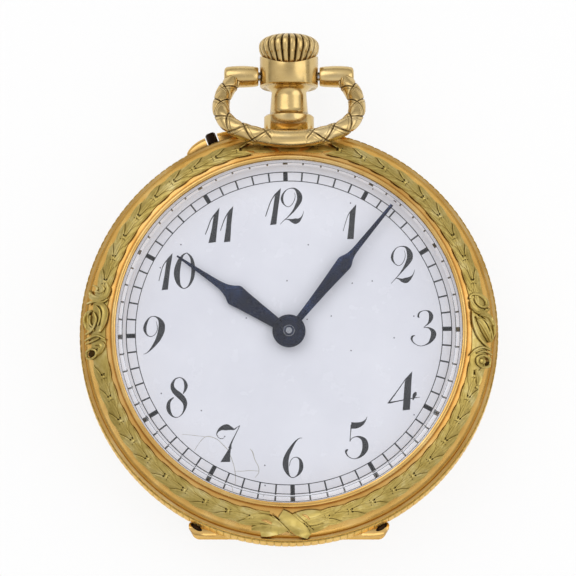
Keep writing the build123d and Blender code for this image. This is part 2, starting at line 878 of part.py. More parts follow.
# Levels of the movement, from the back to the dial
dial_back_z = dial_front_z - dial_thickness
web = 0.25
screw_head = 0.18
ratchet_z = bridge_back_z + screw_head
ratchet_thickness = 0.38
crown_wheel_gap = 0.02
recess_z = bridge_front_z - web
pivot_low_z = 2.25
arbor_low_z = 2.68
centre_wheel_z = 2.75
centre_wheel_thickness = 0.2
centre_leaves_z = 3.08
centre_leaves_length = 0.54
third_leaves_z = 2.72
third_leaves_length = 0.3
third_wheel_z = 3.72
fourth_wheel_z = 3.12
wheel_thickness = 0.16
fourth_leaves_z = 3.66
fourth_leaves_length = 0.28
escape_leaves_z = 3.05
escape_leaves_length = 0.3
escape_z = 4.18
escape_thickness = 0.14
arbor_high_z = 3.96
pivot_high_z = 4.3
deep_arbor_z = 4.53
deep_pivot_z = 4.85
deep_recess_z = 4.5
barrel_z = 3.15
barrel_height = 1.5
barrel_teeth_height = 0.4
barrel_recess_z = 4.75

# Main plate: recessed from the back, with a flange on the ledge and a ring that carries the dial.
plate_r = ledge_r - clearance
flange_r = front_bore_r - clearance
ring_lap = 0.15
ring_width = 0.85
ring_r = ledge_r + ring_lap
ring_inner_r = ring_r - ring_width
barrel_recess_r = 5.2
balance_recess_r = 4.3
escape_recess_r = 2.65
pallet_recess_r = 1.9
centre_arbor_r = 0.3
barrel_pivot_r = 0.45
pocket_r = 1.55
pocket_y = 10.7
pocket_length = 1.05
stem_slot_gap = 0.07
stem_slot_r = stem_r + stem_slot_gap
lug_left = -0.5
lug_right = 0.9
lug_y = 9.85
lug_length = 0.45
lug_z = 2.9
pin_head_r = 0.55
pin_head_start = 12.5
pin_head_length = 0.4
slot_width = 1.3
slot_start = 11.8
slot_z = 4.15
ring_gap_width = 2.6
foot_r = 0.35
foot_inset = 1.05
foot_radius = movement_r - foot_inset
foot_degrees = (10.0, 140.0, 250.0)
foot_end_z = 4.3
post_r = 0.25
post_height = 0.62
lever_post_r = 0.3
lever_post_height = 0.36
lever_at = (-7.2, 8.6)
screw_r = 0.25
screw_head_r = 0.5
screw_reach = 0.5
case_screw_r = 0.3
case_screw_head_r = 0.85
case_screw_inset = 0.35
case_screw_radius = movement_r - case_screw_inset
case_screw_degrees = (-20.0, 200.0)
case_screw_head = 0.25
case_screw_reach = 0.6
barrel_screws = (polar(12.35, 108.0), polar(12.35, 145.0), (2.6, 10.9))
train_foot_at = (11.05, 1.2)
escape_foot_at = polar(11.4, -53.0)
balance_foot_at = (-5.75, -9.95)
pallet_foot_at = (1.9, -11.0)
cock_screws = (train_foot_at, escape_foot_at, balance_foot_at)
all_screws = barrel_screws + cock_screws + (pallet_foot_at,)
pin_level = Plane(origin=(0, 0, slot_z), x_dir=(pin_way[0], pin_way[1], 0), z_dir=(0, 0, 1))


def radial_slot(start, width, rise):
    """Cuts a slot from a radius outwards along the setting pin."""
    with BuildSketch(pin_level.offset(rise)) as slot:
        with Locations((start, 0)):
            Rectangle(case_r, width, align=(Align.MIN, Align.CENTER))
    extrude(slot.sketch, amount=dial_back_z, mode=Mode.SUBTRACT)


def along_stem(radius, start, length):
    """Cuts a round bore along the stem."""
    with BuildSketch(stem_plane.offset(start)) as bore:
        Circle(radius)
    extrude(bore.sketch, amount=length, mode=Mode.SUBTRACT)


def block(left, right, near, far, low, high):
    """Adds a square block."""
    with BuildSketch(seat((left, near), low)) as base:
        Rectangle(right - left, far - near, align=(Align.MIN, Align.MIN))
    extrude(base.sketch, amount=high - low)


with BuildPart() as main_plate:
    turned(
        [
            (0, plate_back_z),
            (plate_r, plate_back_z),
            (plate_r, ledge_front_z),
            (flange_r, ledge_front_z),
            (flange_r, plate_front_z),
            (ring_r, plate_front_z),
            (ring_r, dial_back_z),
            (ring_inner_r, dial_back_z),
            (ring_inner_r, plate_front_z),
            (0, plate_front_z),
        ]
    )
    block(lug_left, lug_right, lug_y, lug_y + lug_length, lug_z, plate_back_z)
    bar(barrel_recess_r, barrel_at, plate_back_z, barrel_recess_z, mode=Mode.SUBTRACT)
    bar(balance_recess_r, balance_at, plate_back_z, deep_recess_z, mode=Mode.SUBTRACT)
    bar(escape_recess_r, escape_at, plate_back_z, deep_recess_z, mode=Mode.SUBTRACT)
    bar(pallet_recess_r, pallet_at, plate_back_z, deep_recess_z, mode=Mode.SUBTRACT)
    bar(centre_arbor_r + running_gap, centre, plate_back_z, plate_front_z, mode=Mode.SUBTRACT)
    bar(barrel_pivot_r + running_gap, barrel_at, plate_back_z, plate_front_z, mode=Mode.SUBTRACT)
    for place in (third_at, fourth_at, escape_at, balance_at, pallet_at):
        bar(jewel_r, place, plate_back_z, plate_front_z, mode=Mode.SUBTRACT)
    for place in all_screws:
        bar(screw_r, place, plate_back_z, plate_back_z + screw_reach, mode=Mode.SUBTRACT)
    for angle in case_screw_degrees:
        place = polar(case_screw_radius, angle)
        bar(case_screw_r, place, plate_back_z, plate_back_z + case_screw_reach, mode=Mode.SUBTRACT)
    for angle in foot_degrees:
        bar(foot_r + running_gap, polar(foot_radius, angle), plate_back_z, dial_back_z, mode=Mode.SUBTRACT)
    along_stem(pocket_r, pocket_y, pocket_length)
    along_stem(stem_slot_r, lug_y + lug_length, case_r)
    along_stem(pilot_r + running_gap, lug_y - clearance, lug_length + 2 * clearance)
    radial_slot(slot_start, slot_width, 0)
    radial_slot(slot_start, ring_gap_width, plate_front_z - slot_z)
    bar(post_r, minute_wheel_at, plate_front_z, plate_front_z + post_height)
    bar(lever_post_r, lever_at, plate_front_z, plate_front_z + lever_post_height)
keep(main_plate.part, "main_plate")

# Bridges and cocks
split_gap = 0.15
centre_boss_r = 1.5
train_boss_r = 1.3
train_foot_r = 1.7
barrel_bridge_r = 7.4
crown_bridge_r = 2.75
crown_foot_r = 1.3
crown_foot_post_r = 0.95
barrel_foot_inner_r = 12.0
centre_window_r = 2.3
ratchet_recess_gap = 0.18
barrel_arbor_r = 0.65
click_distance = 4.6
click_degrees = 180.0
click_beak_degrees = 150.0
click_elbow_radius = 3.86
click_boss_r = 0.55
click_elbow_r = 0.3
click_recess_gap = 0.4
spring_foot_degrees = 218.0
spring_foot_radius = 4.7
spring_foot_r = 0.35
spring_foot_gap = 0.15
ratchet_tip_r = winding_module * (ratchet_teeth / 2 + tip_share)
crown_tip_r = winding_module * (crown_wheel_teeth / 2 + tip_share)
click_way = polar(click_distance, click_degrees)
click_at = (barrel_at[0] + click_way[0], barrel_at[1] + click_way[1])
elbow_way = polar(click_elbow_radius, click_beak_degrees)
elbow_at = (barrel_at[0] + elbow_way[0], barrel_at[1] + elbow_way[1])
spring_way = polar(spring_foot_radius, spring_foot_degrees)
spring_foot_at = (barrel_at[0] + spring_way[0], barrel_at[1] + spring_way[1])
crown_screw_r = 0.42
click_screw_r = 0.3


def train_outline(extra):
    """The circles that the train bridge is stretched round."""
    return [
        (centre, centre_boss_r + extra),
        (third_at, train_boss_r + extra),
        (fourth_at, train_boss_r + extra),
        (train_foot_at, train_foot_r + extra),
    ]


def barrel_outline(low, high):
    """Adds the outline of the barrel bridge between two levels."""
    stretched(
        [(barrel_at, barrel_bridge_r), (crown_wheel_at, crown_bridge_r), (barrel_screws[2], crown_foot_r)],
        low,
        high,
    )
    bar(movement_r, centre, low, high, mode=Mode.INTERSECT)


with BuildPart() as barrel_feet:
    barrel_outline(bridge_front_z, plate_back_z)
    bar(barrel_foot_inner_r, centre, bridge_front_z, plate_back_z, mode=Mode.SUBTRACT)
    bar(crown_foot_post_r, barrel_screws[2], bridge_front_z, plate_back_z)
with BuildPart() as barrel_bridge:
    barrel_outline(bridge_back_z, bridge_front_z)
    stretched(train_outline(split_gap), bridge_back_z, bridge_front_z, mode=Mode.SUBTRACT)
    bar(centre_window_r, centre, bridge_back_z, bridge_front_z, mode=Mode.SUBTRACT)
    add(barrel_feet.part)
    bar(ratchet_tip_r + ratchet_recess_gap, barrel_at, bridge_back_z, recess_z, mode=Mode.SUBTRACT)
    bar(crown_tip_r + ratchet_recess_gap, crown_wheel_at, bridge_back_z, recess_z, mode=Mode.SUBTRACT)
    stretched(
        [
            (click_at, click_boss_r + click_recess_gap),
            (elbow_at, click_elbow_r + click_recess_gap),
            (spring_foot_at, spring_foot_r + spring_foot_gap),
        ],
        bridge_back_z,
        recess_z,
        mode=Mode.SUBTRACT,
    )
    bar(barrel_arbor_r + running_gap, barrel_at, recess_z, bridge_front_z, mode=Mode.SUBTRACT)
    bar(screw_r, crown_wheel_at, recess_z, bridge_front_z, mode=Mode.SUBTRACT)
    bar(screw_r, click_at, recess_z, bridge_front_z, mode=Mode.SUBTRACT)
    for place in barrel_screws:
        bar(screw_r, place, bridge_back_z, plate_back_z, mode=Mode.SUBTRACT)
    along_stem(pocket_r, pocket_y, pocket_length)
    along_stem(stem_slot_r, lug_y + lug_length, case_r)
keep(barrel_bridge.part, "barrel_bridge")

train_foot_post_r = 1.5
with BuildPart() as train_bridge:
    stretched(train_outline(0), bridge_back_z, bridge_front_z)
    bar(train_foot_post_r, train_foot_at, bridge_front_z, plate_back_z)
    bar(movement_r, centre, bridge_back_z, plate_back_z, mode=Mode.INTERSECT)
    bar(screw_r, train_foot_at, bridge_back_z, plate_back_z, mode=Mode.SUBTRACT)
    for place in (centre, third_at, fourth_at):
        bar(jewel_r, place, bridge_back_z, bridge_front_z, mode=Mode.SUBTRACT)
keep(train_bridge.part, "train_bridge")

escape_boss_r = 1.0
escape_foot_r = 1.35
with BuildPart() as escape_cock:
    stretched([(escape_at, escape_boss_r), (escape_foot_at, escape_foot_r)], bridge_back_z, bridge_front_z)
    bar(escape_foot_r, escape_foot_at, bridge_front_z, plate_back_z)
    bar(screw_r, escape_foot_at, bridge_back_z, plate_back_z, mode=Mode.SUBTRACT)
    bar(jewel_r, escape_at, bridge_back_z, bridge_front_z, mode=Mode.SUBTRACT)
keep(escape_cock.part, "escape_cock")

pallet_cock_z = 3.66
pallet_boss_r = 0.75
pallet_foot_r = 0.9
with BuildPart() as pallet_cock:
    stretched([(pallet_at, pallet_boss_r), (pallet_foot_at, pallet_foot_r)], pallet_cock_z, plate_back_z)
    bar(screw_r, pallet_foot_at, pallet_cock_z, plate_back_z, mode=Mode.SUBTRACT)
    bar(jewel_r, pallet_at, pallet_cock_z, plate_back_z, mode=Mode.SUBTRACT)
keep(pallet_cock.part, "pallet_cock")

balance_cock_z = 2.5
balance_boss_r = 1.5
balance_foot_r = 1.3
stud_r = 0.12
stud_radius = 2.16
stud_end_z = 2.95
cock_bearing = bearing(balance_at, balance_foot_at)
stud_way = polar(stud_radius, cock_bearing)
stud_at = (balance_at[0] + stud_way[0], balance_at[1] + stud_way[1])
with BuildPart() as balance_cock:
    stretched(
        [(balance_at, balance_boss_r), (balance_foot_at, balance_foot_r)],
        bridge_back_z,
        balance_cock_z,
    )
    bar(balance_foot_r, balance_foot_at, balance_cock_z, plate_back_z)
    bar(stud_r, stud_at, balance_cock_z, stud_end_z)
    bar(screw_r, balance_foot_at, bridge_back_z, plate_back_z, mode=Mode.SUBTRACT)
    bar(jewel_r, balance_at, bridge_back_z, balance_cock_z, mode=Mode.SUBTRACT)
keep(balance_cock.part, "balance_cock")

# Jewels: pierced rings pressed into the plate, the bridges and the cocks.
bridge_jewel_z = 2.3
cock_jewel_z = 2.15
pallet_jewel_z = 3.68
plate_jewel_z = plate_back_z + jewel_gap
deep_jewel_z = 4.55
jewel_seats = (
    (centre, bridge_jewel_z),
    (third_at, bridge_jewel_z),
    (fourth_at, bridge_jewel_z),
    (escape_at, bridge_jewel_z),
    (balance_at, cock_jewel_z),
    (pallet_at, pallet_jewel_z),
    (third_at, plate_jewel_z),
    (fourth_at, plate_jewel_z),
    (escape_at, deep_jewel_z),
    (balance_at, deep_jewel_z),
    (pallet_at, deep_jewel_z),
)
with BuildPart() as jewels:
    for place, low in jewel_seats:
        bar(jewel_r, place, low, low + jewel_height)
    for place, low in jewel_seats:
        bar(pivot_r + jewel_gap, place, low, low + jewel_height, mode=Mode.SUBTRACT)
keep(jewels.part, "jewels")

# Screws of the bridges and of the case
with BuildPart() as bridge_screws:
    for place in barrel_screws + cock_screws:
        bar(screw_head_r, place, bridge_back_z - screw_head, bridge_back_z)
        bar(screw_r, place, bridge_back_z, plate_back_z + screw_reach)
    bar(screw_head_r, pallet_foot_at, pallet_cock_z - screw_head, pallet_cock_z)
    bar(screw_r, pallet_foot_at, pallet_cock_z, plate_back_z + screw_reach)
keep(bridge_screws.part, "bridge_screws")

with BuildPart() as case_screws:
    for angle in case_screw_degrees:
        place = polar(case_screw_radius, angle)
        bar(case_screw_head_r, place, plate_back_z - case_screw_head, plate_back_z)
        bar(case_screw_r, place, plate_back_z, plate_back_z + case_screw_reach)
keep(case_screws.part, "case_screws")

# Winding: ratchet wheel, crown wheel and click in the recess of the barrel bridge
ratchet_bore_r = 0.5
ratchet_screw_head_r = 0.9
ratchet_screw_reach = 1.0
crown_screw_head_r = 0.85
click_screw_head_r = 0.48
beak_half_width = 0.2
beak_tip_radius = 3.25
crown_wheel_phase = 90 + 180 / crown_wheel_teeth
ratchet_phase = meshed(
    crown_wheel_teeth, crown_wheel_phase, ratchet_teeth, bearing(crown_wheel_at, barrel_at)
)
ratchet_end_z = ratchet_z + ratchet_thickness


def toothed_disc(label, at, low, thickness, points, bore_r):
    """A plain toothed wheel with a round bore."""
    with BuildPart() as disc:
        extrude(outline(seat(at, low), points), amount=thickness)
        bar(bore_r, at, low, low + thickness, mode=Mode.SUBTRACT)
    keep(disc.part, label)


def headed_screw(label, at, head_r, steps):
    """A screw with its head on the back, and a shank of steps (radius, end level)."""
    with BuildPart() as screw:
        bar(head_r, at, bridge_back_z, ratchet_z)
        level = ratchet_z
        for radius, end in steps:
            bar(radius, at, level, end)
            level = end
    keep(screw.part, label)


toothed_disc(
    "ratchet_wheel",
    barrel_at,
    ratchet_z,
    ratchet_thickness,
    toothed(ratchet_teeth, winding_module, ratchet_phase),
    ratchet_bore_r,
)
toothed_disc(
    "crown_wheel",
    crown_wheel_at,
    ratchet_z + crown_wheel_gap,
    ratchet_thickness - crown_wheel_gap,
    toothed(crown_wheel_teeth, winding_module, crown_wheel_phase),
    crown_screw_r + running_gap,
)
headed_screw("ratchet_screw", barrel_at, ratchet_screw_head_r, [(screw_r, ratchet_z + ratchet_screw_reach)])
headed_screw(
    "crown_wheel_screw",
    crown_wheel_at,
    crown_screw_head_r,
    [(crown_screw_r, recess_z), (screw_r, bridge_front_z)],
)
headed_screw(
    "click_screw",
    click_at,
    click_screw_head_r,
    [(click_screw_r, recess_z), (screw_r, bridge_front_z)],
)

ratchet_pitch = 360 / ratchet_teeth
beak_count = round((click_beak_degrees - ratchet_phase) / ratchet_pitch - 0.5)
beak_degrees = ratchet_phase + (beak_count + 0.5) * ratchet_pitch
beak_spread = degrees(beak_half_width / click_elbow_radius)
with BuildPart() as click:
    stretched(
        [(click_at, click_boss_r), (elbow_at, click_elbow_r)],
        ratchet_z + crown_wheel_gap,
        ratchet_end_z,
    )
    extrude(
        outline(
            seat(barrel_at, ratchet_z + crown_wheel_gap),
            [
                polar(click_elbow_radius, beak_degrees - beak_spread),
                polar(beak_tip_radius, beak_degrees),
                polar(click_elbow_radius, beak_degrees + beak_spread),
            ],
        ),
        amount=ratchet_thickness - crown_wheel_gap,
    )
    bar(click_screw_r + running_gap, click_at, ratchet_z, ratchet_end_z, mode=Mode.SUBTRACT)
keep(click.part, "click")

spring_wire_r = 0.06
spring_end_gap = 0.1
spring_way_in = bearing(click_at, spring_foot_at)
spring_end = polar(click_boss_r + spring_end_gap, spring_way_in)
spring_end_at = (click_at[0] + spring_end[0], click_at[1] + spring_end[1])
with BuildPart() as click_spring:
    bar(spring_foot_r, spring_foot_at, ratchet_z + crown_wheel_gap, recess_z)
    stretched(
        [(spring_foot_at, spring_wire_r), (spring_end_at, spring_wire_r)],
        ratchet_z + crown_wheel_gap,
        ratchet_end_z,
    )
keep(click_spring.part, "click_spring")

# Barrel: toothed drum, cover, arbor and mainspring
barrel_r = 5.0
barrel_wall = 0.3
barrel_floor = 0.2
cover_inset = 0.02
cover_thickness = 0.18
core_r = 1.3
core_z = 3.42
spring_z = 3.46
barrel_end_z = barrel_z + barrel_height
floor_z = barrel_end_z - barrel_floor
core_end_z = floor_z - clearance
mainspring_thickness = 0.12
mainspring_turns = 7
mainspring_inner_r = 1.42
mainspring_outer_r = 4.58
spiral_steps = 20
with BuildPart() as barrel:
    extrude(
        outline(seat(barrel_at, barrel_z), toothed(barrel_teeth, barrel_module, 0)),
        amount=barrel_teeth_height,
    )
    bar(barrel_r, barrel_at, barrel_z, barrel_end_z)
    bar(barrel_r - barrel_wall, barrel_at, barrel_z, floor_z, mode=Mode.SUBTRACT)
    bar(barrel_pivot_r + running_gap, barrel_at, floor_z, barrel_end_z, mode=Mode.SUBTRACT)
keep(barrel.part, "barrel")

with BuildPart() as barrel_cover:
    bar(barrel_r - barrel_wall, barrel_at, barrel_z + cover_inset, barrel_z + cover_inset + cover_thickness)
    bar(barrel_arbor_r + running_gap, barrel_at, barrel_z, core_z, mode=Mode.SUBTRACT)
keep(barrel_cover.part, "barrel_cover")

with BuildPart() as barrel_arbor:
    bar(ratchet_bore_r, barrel_at, ratchet_z, ratchet_end_z)
    bar(barrel_arbor_r, barrel_at, ratchet_end_z, core_z)
    bar(core_r, barrel_at, core_z, core_end_z)
    bar(barrel_pivot_r, barrel_at, core_end_z, plate_front_z)
    bar(screw_r, barrel_at, ratchet_z, ratchet_z + ratchet_screw_reach, mode=Mode.SUBTRACT)
keep(barrel_arbor.part, "barrel_arbor")


def spiral(inner_r, outer_r, turns, thickness, end_degrees):
    """The outline of a flat coiled spring that ends, at its outer radius, at an angle."""
    count = turns * spiral_steps
    near = []
    far = []
    for step in range(count + 1):
        share = step / count
        radius = inner_r + (outer_r - inner_r) * share
        angle = end_degrees - (1 - share) * turns * 360
        near.append(polar(radius - thickness / 2, angle))
        far.append(polar(radius + thickness / 2, angle))
    return near + far[::-1]


with BuildPart() as mainspring:
    coil = spiral(mainspring_inner_r, mainspring_outer_r, mainspring_turns, mainspring_thickness, 0)
    extrude(outline(seat(barrel_at, spring_z), coil), amount=core_end_z - spring_z)
keep(mainspring.part, "mainspring")


# The going train. Each wheel's own first tooth lies along +X, and each pinion is turned to mesh.
def pinion(label, at, low, length, points, steps):
    """A pinion with its arbor, which is made of steps (radius, low, high)."""
    with BuildPart() as piece:
        extrude(outline(seat(at, low), points), amount=length)
        for radius, start, end in steps:
            bar(radius, at, start, end)
    keep(piece.part, label)


train_arbor_r = 0.22
third_arbor_r = 0.25
centre_pivot_end_z = 7.42
cannon_arbor_r = 0.24
centre_phase = meshed(barrel_teeth, 0, centre_pinion_leaves, bearing(barrel_at, centre))
third_phase = meshed(centre_teeth, 0, third_pinion_leaves, bearing(centre, third_at))
fourth_phase = meshed(third_teeth, 0, fourth_pinion_leaves, bearing(third_at, fourth_at))
escape_phase = meshed(fourth_teeth, 0, escape_pinion_leaves, bearing(fourth_at, escape_at))
pinion(
    "centre_pinion",
    centre,
    centre_leaves_z,
    centre_leaves_length,
    toothed(centre_pinion_leaves, barrel_module, centre_phase),
    [
        (pivot_r, pivot_low_z, arbor_low_z),
        (centre_arbor_r, arbor_low_z, plate_front_z + running_gap),
        (cannon_arbor_r, plate_front_z + running_gap, centre_pivot_end_z),
    ],
)
pinion(
    "third_pinion",
    third_at,
    third_leaves_z,
    third_leaves_length,
    toothed(third_pinion_leaves, centre_module, third_phase),
    [(pivot_r, pivot_low_z, pivot_high_z), (third_arbor_r, arbor_low_z, arbor_high_z)],
)
pinion(
    "fourth_pinion",
    fourth_at,
    fourth_leaves_z,
    fourth_leaves_length,
    toothed(fourth_pinion_leaves, third_module, fourth_phase),
    [(pivot_r, pivot_low_z, pivot_high_z), (train_arbor_r, arbor_low_z, arbor_high_z)],
)
pinion(
    "escape_pinion",
    escape_at,
    escape_leaves_z,
    escape_leaves_length,
    toothed(escape_pinion_leaves, fourth_module, escape_phase),
    [(pivot_r, pivot_low_z, deep_pivot_z), (train_arbor_r, arbor_low_z, deep_arbor_z)],
)
centre_spokes = 5
train_spokes = 4
crossed_wheel(
    "centre_wheel",
    centre,
    centre_wheel_z,
    centre_wheel_thickness,
    centre_teeth,
    centre_module,
    0,
    centre_arbor_r,
    centre_spokes,
)
crossed_wheel(
    "third_wheel", third_at, third_wheel_z, wheel_thickness, third_teeth, third_module, 0,
    third_arbor_r, train_spokes
)
crossed_wheel(
    "fourth_wheel", fourth_at, fourth_wheel_z, wheel_thickness, fourth_teeth, fourth_module, 0,
    train_arbor_r, train_spokes
)

# Escape wheel with club teeth, pallet fork and stones
escape_root_r = 1.93
escape_rim_r = 1.72
escape_hub_r = 0.5
escape_spoke = 0.2
club_degrees = ((0.0, 0), (5.5, 0.8), (6.5, 1), (9.5, 1), (8.0, 0.6), (6.5, 0))
escape_pitch = 360 / escape_teeth
with BuildPart() as escape_wheel:
    clubs = []
    for count in range(escape_teeth):
        for turn, share in club_degrees:
            clubs.append(
                polar(escape_root_r + share * (escape_r - escape_root_r), count * escape_pitch + turn)
            )
    extrude(outline(seat(escape_at, escape_z), clubs), amount=escape_thickness)
    with BuildSketch(seat(escape_at, escape_z)) as windows:
        Circle(escape_rim_r)
        Circle(escape_hub_r, mode=Mode.SUBTRACT)
        with PolarLocations(escape_rim_r / 2, train_spokes):
            Rectangle(escape_rim_r, escape_spoke, mode=Mode.SUBTRACT)
    extrude(windows.sketch, amount=escape_thickness, mode=Mode.SUBTRACT)
    bar(train_arbor_r, escape_at, escape_z, escape_z + escape_thickness, mode=Mode.SUBTRACT)
keep(escape_wheel.part, "escape_wheel")

fork_thickness = 0.18
fork_end_z = escape_z + fork_thickness
stone_degrees = pallet_span_degrees
stone_width = 0.14
stone_length = 0.5
stone_tip_radius = 2.26
arm_radius = 2.85
arm_degrees = 32.0
arm_r = 0.2
fork_hub_r = 0.3
lever_r = 0.13
notch_radius = 2.78
notch_width = 0.3
horn_width = 0.18
horn_length = 0.34
fork_arbor_r = 0.2
fork_arbor_z = 4.03
fork_pivot_z = 3.68
pallet_bearing = bearing(escape_at, pallet_at)
lever_bearing = bearing(pallet_at, balance_at)


def stones():
    """Both pallet stones, as faces at the level of the fork."""
    with BuildSketch(seat(escape_at, escape_z)) as faces:
        for side in (-1, 1):
            angle = pallet_bearing + side * stone_degrees
            with Locations(Location(polar(stone_tip_radius, angle), angle)):
                Rectangle(stone_length, stone_width, align=(Align.MIN, Align.CENTER))
    return faces.sketch


def arm_at(side):
    """The outer end of one pallet arm."""
    way = polar(arm_radius, pallet_bearing + side * arm_degrees)
    return (escape_at[0] + way[0], escape_at[1] + way[1])


with BuildPart() as pallet_fork:
    for side in (-1, 1):
        stretched([(pallet_at, fork_hub_r), (arm_at(side), arm_r)], escape_z, fork_end_z)
    fork_plane = Plane(
        origin=(pallet_at[0], pallet_at[1], escape_z),
        x_dir=(cos(radians(lever_bearing)), sin(radians(lever_bearing)), 0),
        z_dir=(0, 0, 1),
    )
    with BuildSketch(fork_plane):
        Rectangle(notch_radius - horn_length, 2 * lever_r, align=(Align.MIN, Align.CENTER))
        with Locations((notch_radius, 0)):
            Rectangle(horn_length + horn_width, notch_width + 2 * horn_width, align=(Align.MAX, Align.CENTER))
            Rectangle(horn_length, notch_width, align=(Align.MAX, Align.CENTER), mode=Mode.SUBTRACT)
    extrude(amount=fork_thickness)
    extrude(stones(), amount=fork_thickness, mode=Mode.SUBTRACT)
    bar(fork_arbor_r, pallet_at, fork_arbor_z, deep_arbor_z)
    bar(pivot_r, pallet_at, fork_pivot_z, deep_pivot_z)
keep(pallet_fork.part, "pallet_fork")

with BuildPart() as pallet_stones:
    extrude(stones(), amount=fork_thickness)
keep(pallet_stones.part, "pallet_stones")

# Balance: rim with two arms, screws in the rim, staff, roller with its impulse pin, and the hairspring
rim_z = 3.05
rim_height = 0.45
rim_width = 0.3
arm_z = 3.15
arm_height = 0.15
arm_width = 0.45
balance_hub_r = 0.6
staff_r = 0.25
staff_low_z = 2.52
cock_pivot_z = 2.1
balance_screws_count = 14
balance_screw_r = 0.13
balance_screw_reach = 0.22
balance_arm_degrees = 40.0
roller_z = 3.62
roller_thickness = 0.13
roller_r = 0.8
impulse_radius = 0.55
impulse_r = 0.12
rim_inner_r = balance_r - rim_width
with BuildPart() as balance_wheel:
    bar(balance_r, balance_at, rim_z, rim_z + rim_height)
    bar(rim_inner_r, balance_at, rim_z, rim_z + rim_height, mode=Mode.SUBTRACT)
    with BuildSketch(seat(balance_at, arm_z)):
        Circle(balance_hub_r)
        with Locations(Location((0, 0), balance_arm_degrees)):
            Rectangle(2 * rim_inner_r + rim_width, arm_width)
    extrude(amount=arm_height)
    bar(staff_r, balance_at, arm_z, arm_z + arm_height, mode=Mode.SUBTRACT)
keep(balance_wheel.part, "balance_wheel")

with BuildPart() as balance_screws:
    for count in range(balance_screws_count):
        angle = balance_arm_degrees + (count + 0.5) * 360 / balance_screws_count
        way = polar(1, angle)
        start = polar(balance_r, angle)
        with BuildSketch(
            Plane(
                origin=(balance_at[0] + start[0], balance_at[1] + start[1], rim_z + rim_height / 2),
                x_dir=(0, 0, 1),
                z_dir=(way[0], way[1], 0),
            )
        ):
            Circle(balance_screw_r)
        extrude(amount=balance_screw_reach)
    bar(balance_r, balance_at, rim_z, rim_z + rim_height, mode=Mode.SUBTRACT)
keep(balance_screws.part, "balance_screws")

with BuildPart() as balance_staff:
    bar(pivot_r, balance_at, cock_pivot_z, deep_pivot_z)
    bar(staff_r, balance_at, staff_low_z, deep_arbor_z)
keep(balance_staff.part, "balance_staff")

impulse_way = polar(impulse_radius, bearing(balance_at, pallet_at))
impulse_at = (balance_at[0] + impulse_way[0], balance_at[1] + impulse_way[1])
with BuildPart() as roller:
    bar(roller_r, balance_at, roller_z, roller_z + roller_thickness)
    bar(impulse_r, impulse_at, roller_z, fork_end_z)
    bar(staff_r, balance_at, roller_z, roller_z + roller_thickness, mode=Mode.SUBTRACT)
keep(roller.part, "roller")

hairspring_z = 2.78
hairspring_height = 0.15
hairspring_thickness = 0.05
hairspring_turns = 5
hairspring_r = 2.0
collet_r = 0.45
with BuildPart() as hairspring:
    coil = spiral(collet_r, hairspring_r, hairspring_turns, hairspring_thickness, cock_bearing)
    extrude(outline(seat(balance_at, hairspring_z), coil), amount=hairspring_height)
    bar(collet_r, balance_at, hairspring_z, hairspring_z + hairspring_height)
    bar(staff_r, balance_at, hairspring_z, hairspring_z + hairspring_height, mode=Mode.SUBTRACT)
keep(hairspring.part, "hairspring")

# Regulator: a ring on the balance cock, with an index and two curb pins astride the hairspring
regulator_z = 1.62
regulator_thickness = 0.16
regulator_r = 1.0
regulator_bore_r = 0.62
index_length = 3.6
index_r = 0.12
index_hub_r = 0.24
curb_r = 0.06
curb_gap = 0.14
curb_radius = hairspring_r - (hairspring_r - collet_r) / hairspring_turns / 2
curb_tail_r = 0.25
curb_end_z = 2.9
index_way = polar(index_length, cock_bearing)
index_at = (balance_at[0] + index_way[0], balance_at[1] + index_way[1])
tail_way = polar(curb_radius, cock_bearing + 180)
tail_at = (balance_at[0] + tail_way[0], balance_at[1] + tail_way[1])
with BuildPart() as regulator:
    stretched(
        [(balance_at, index_hub_r), (index_at, index_r)],
        regulator_z,
        regulator_z + regulator_thickness,
    )
    stretched(
        [(balance_at, curb_tail_r), (tail_at, curb_tail_r)],
        regulator_z,
        regulator_z + regulator_thickness,
    )
    bar(regulator_r, balance_at, regulator_z, regulator_z + regulator_thickness)
    bar(regulator_bore_r, balance_at, regulator_z, regulator_z + regulator_thickness, mode=Mode.SUBTRACT)
    for side in (-1, 1):
        way = polar(curb_radius + side * curb_gap, cock_bearing + 180)
        bar(curb_r, (balance_at[0] + way[0], balance_at[1] + way[1]), regulator_z, curb_end_z)
keep(regulator.part, "regulator")

# Motion work under the dial
motion_z = 5.02
cannon_length = 0.26
cannon_pipe_r = 0.42
cannon_end_z = 7.36
minute_wheel_z = 5.06
minute_wheel_thickness = 0.18
minute_pinion_end_z = 5.54
hour_wheel_z = 5.31
hour_wheel_thickness = 0.2
hour_pipe_r = 0.62
hour_bore_r = 0.46
hour_pipe_end_z = 6.86
minute_phase = meshed(cannon_leaves, 0, minute_wheel_teeth, minute_wheel_degrees)
hour_phase = meshed(minute_pinion_leaves, minute_phase, hour_wheel_teeth, bearing(minute_wheel_at, centre))
with BuildPart() as cannon_pinion:
    extrude(outline(seat(centre, motion_z), toothed(cannon_leaves, cannon_module, 0)), amount=cannon_length)
    bar(cannon_pipe_r, centre, motion_z, cannon_end_z)
    bar(cannon_arbor_r + running_gap, centre, motion_z, cannon_end_z, mode=Mode.SUBTRACT)
keep(cannon_pinion.part, "cannon_pinion")

with BuildPart() as minute_wheel:
    extrude(
        outline(
            seat(minute_wheel_at, minute_wheel_z),
            toothed(minute_wheel_teeth, cannon_module, minute_phase),
        ),
        amount=minute_wheel_thickness,
    )
    extrude(
        outline(
            seat(minute_wheel_at, minute_wheel_z),
            toothed(minute_pinion_leaves, hour_module, minute_phase),
        ),
        amount=minute_pinion_end_z - minute_wheel_z,
    )
    bar(post_r + running_gap, minute_wheel_at, minute_wheel_z, minute_pinion_end_z, mode=Mode.SUBTRACT)
keep(minute_wheel.part, "minute_wheel")

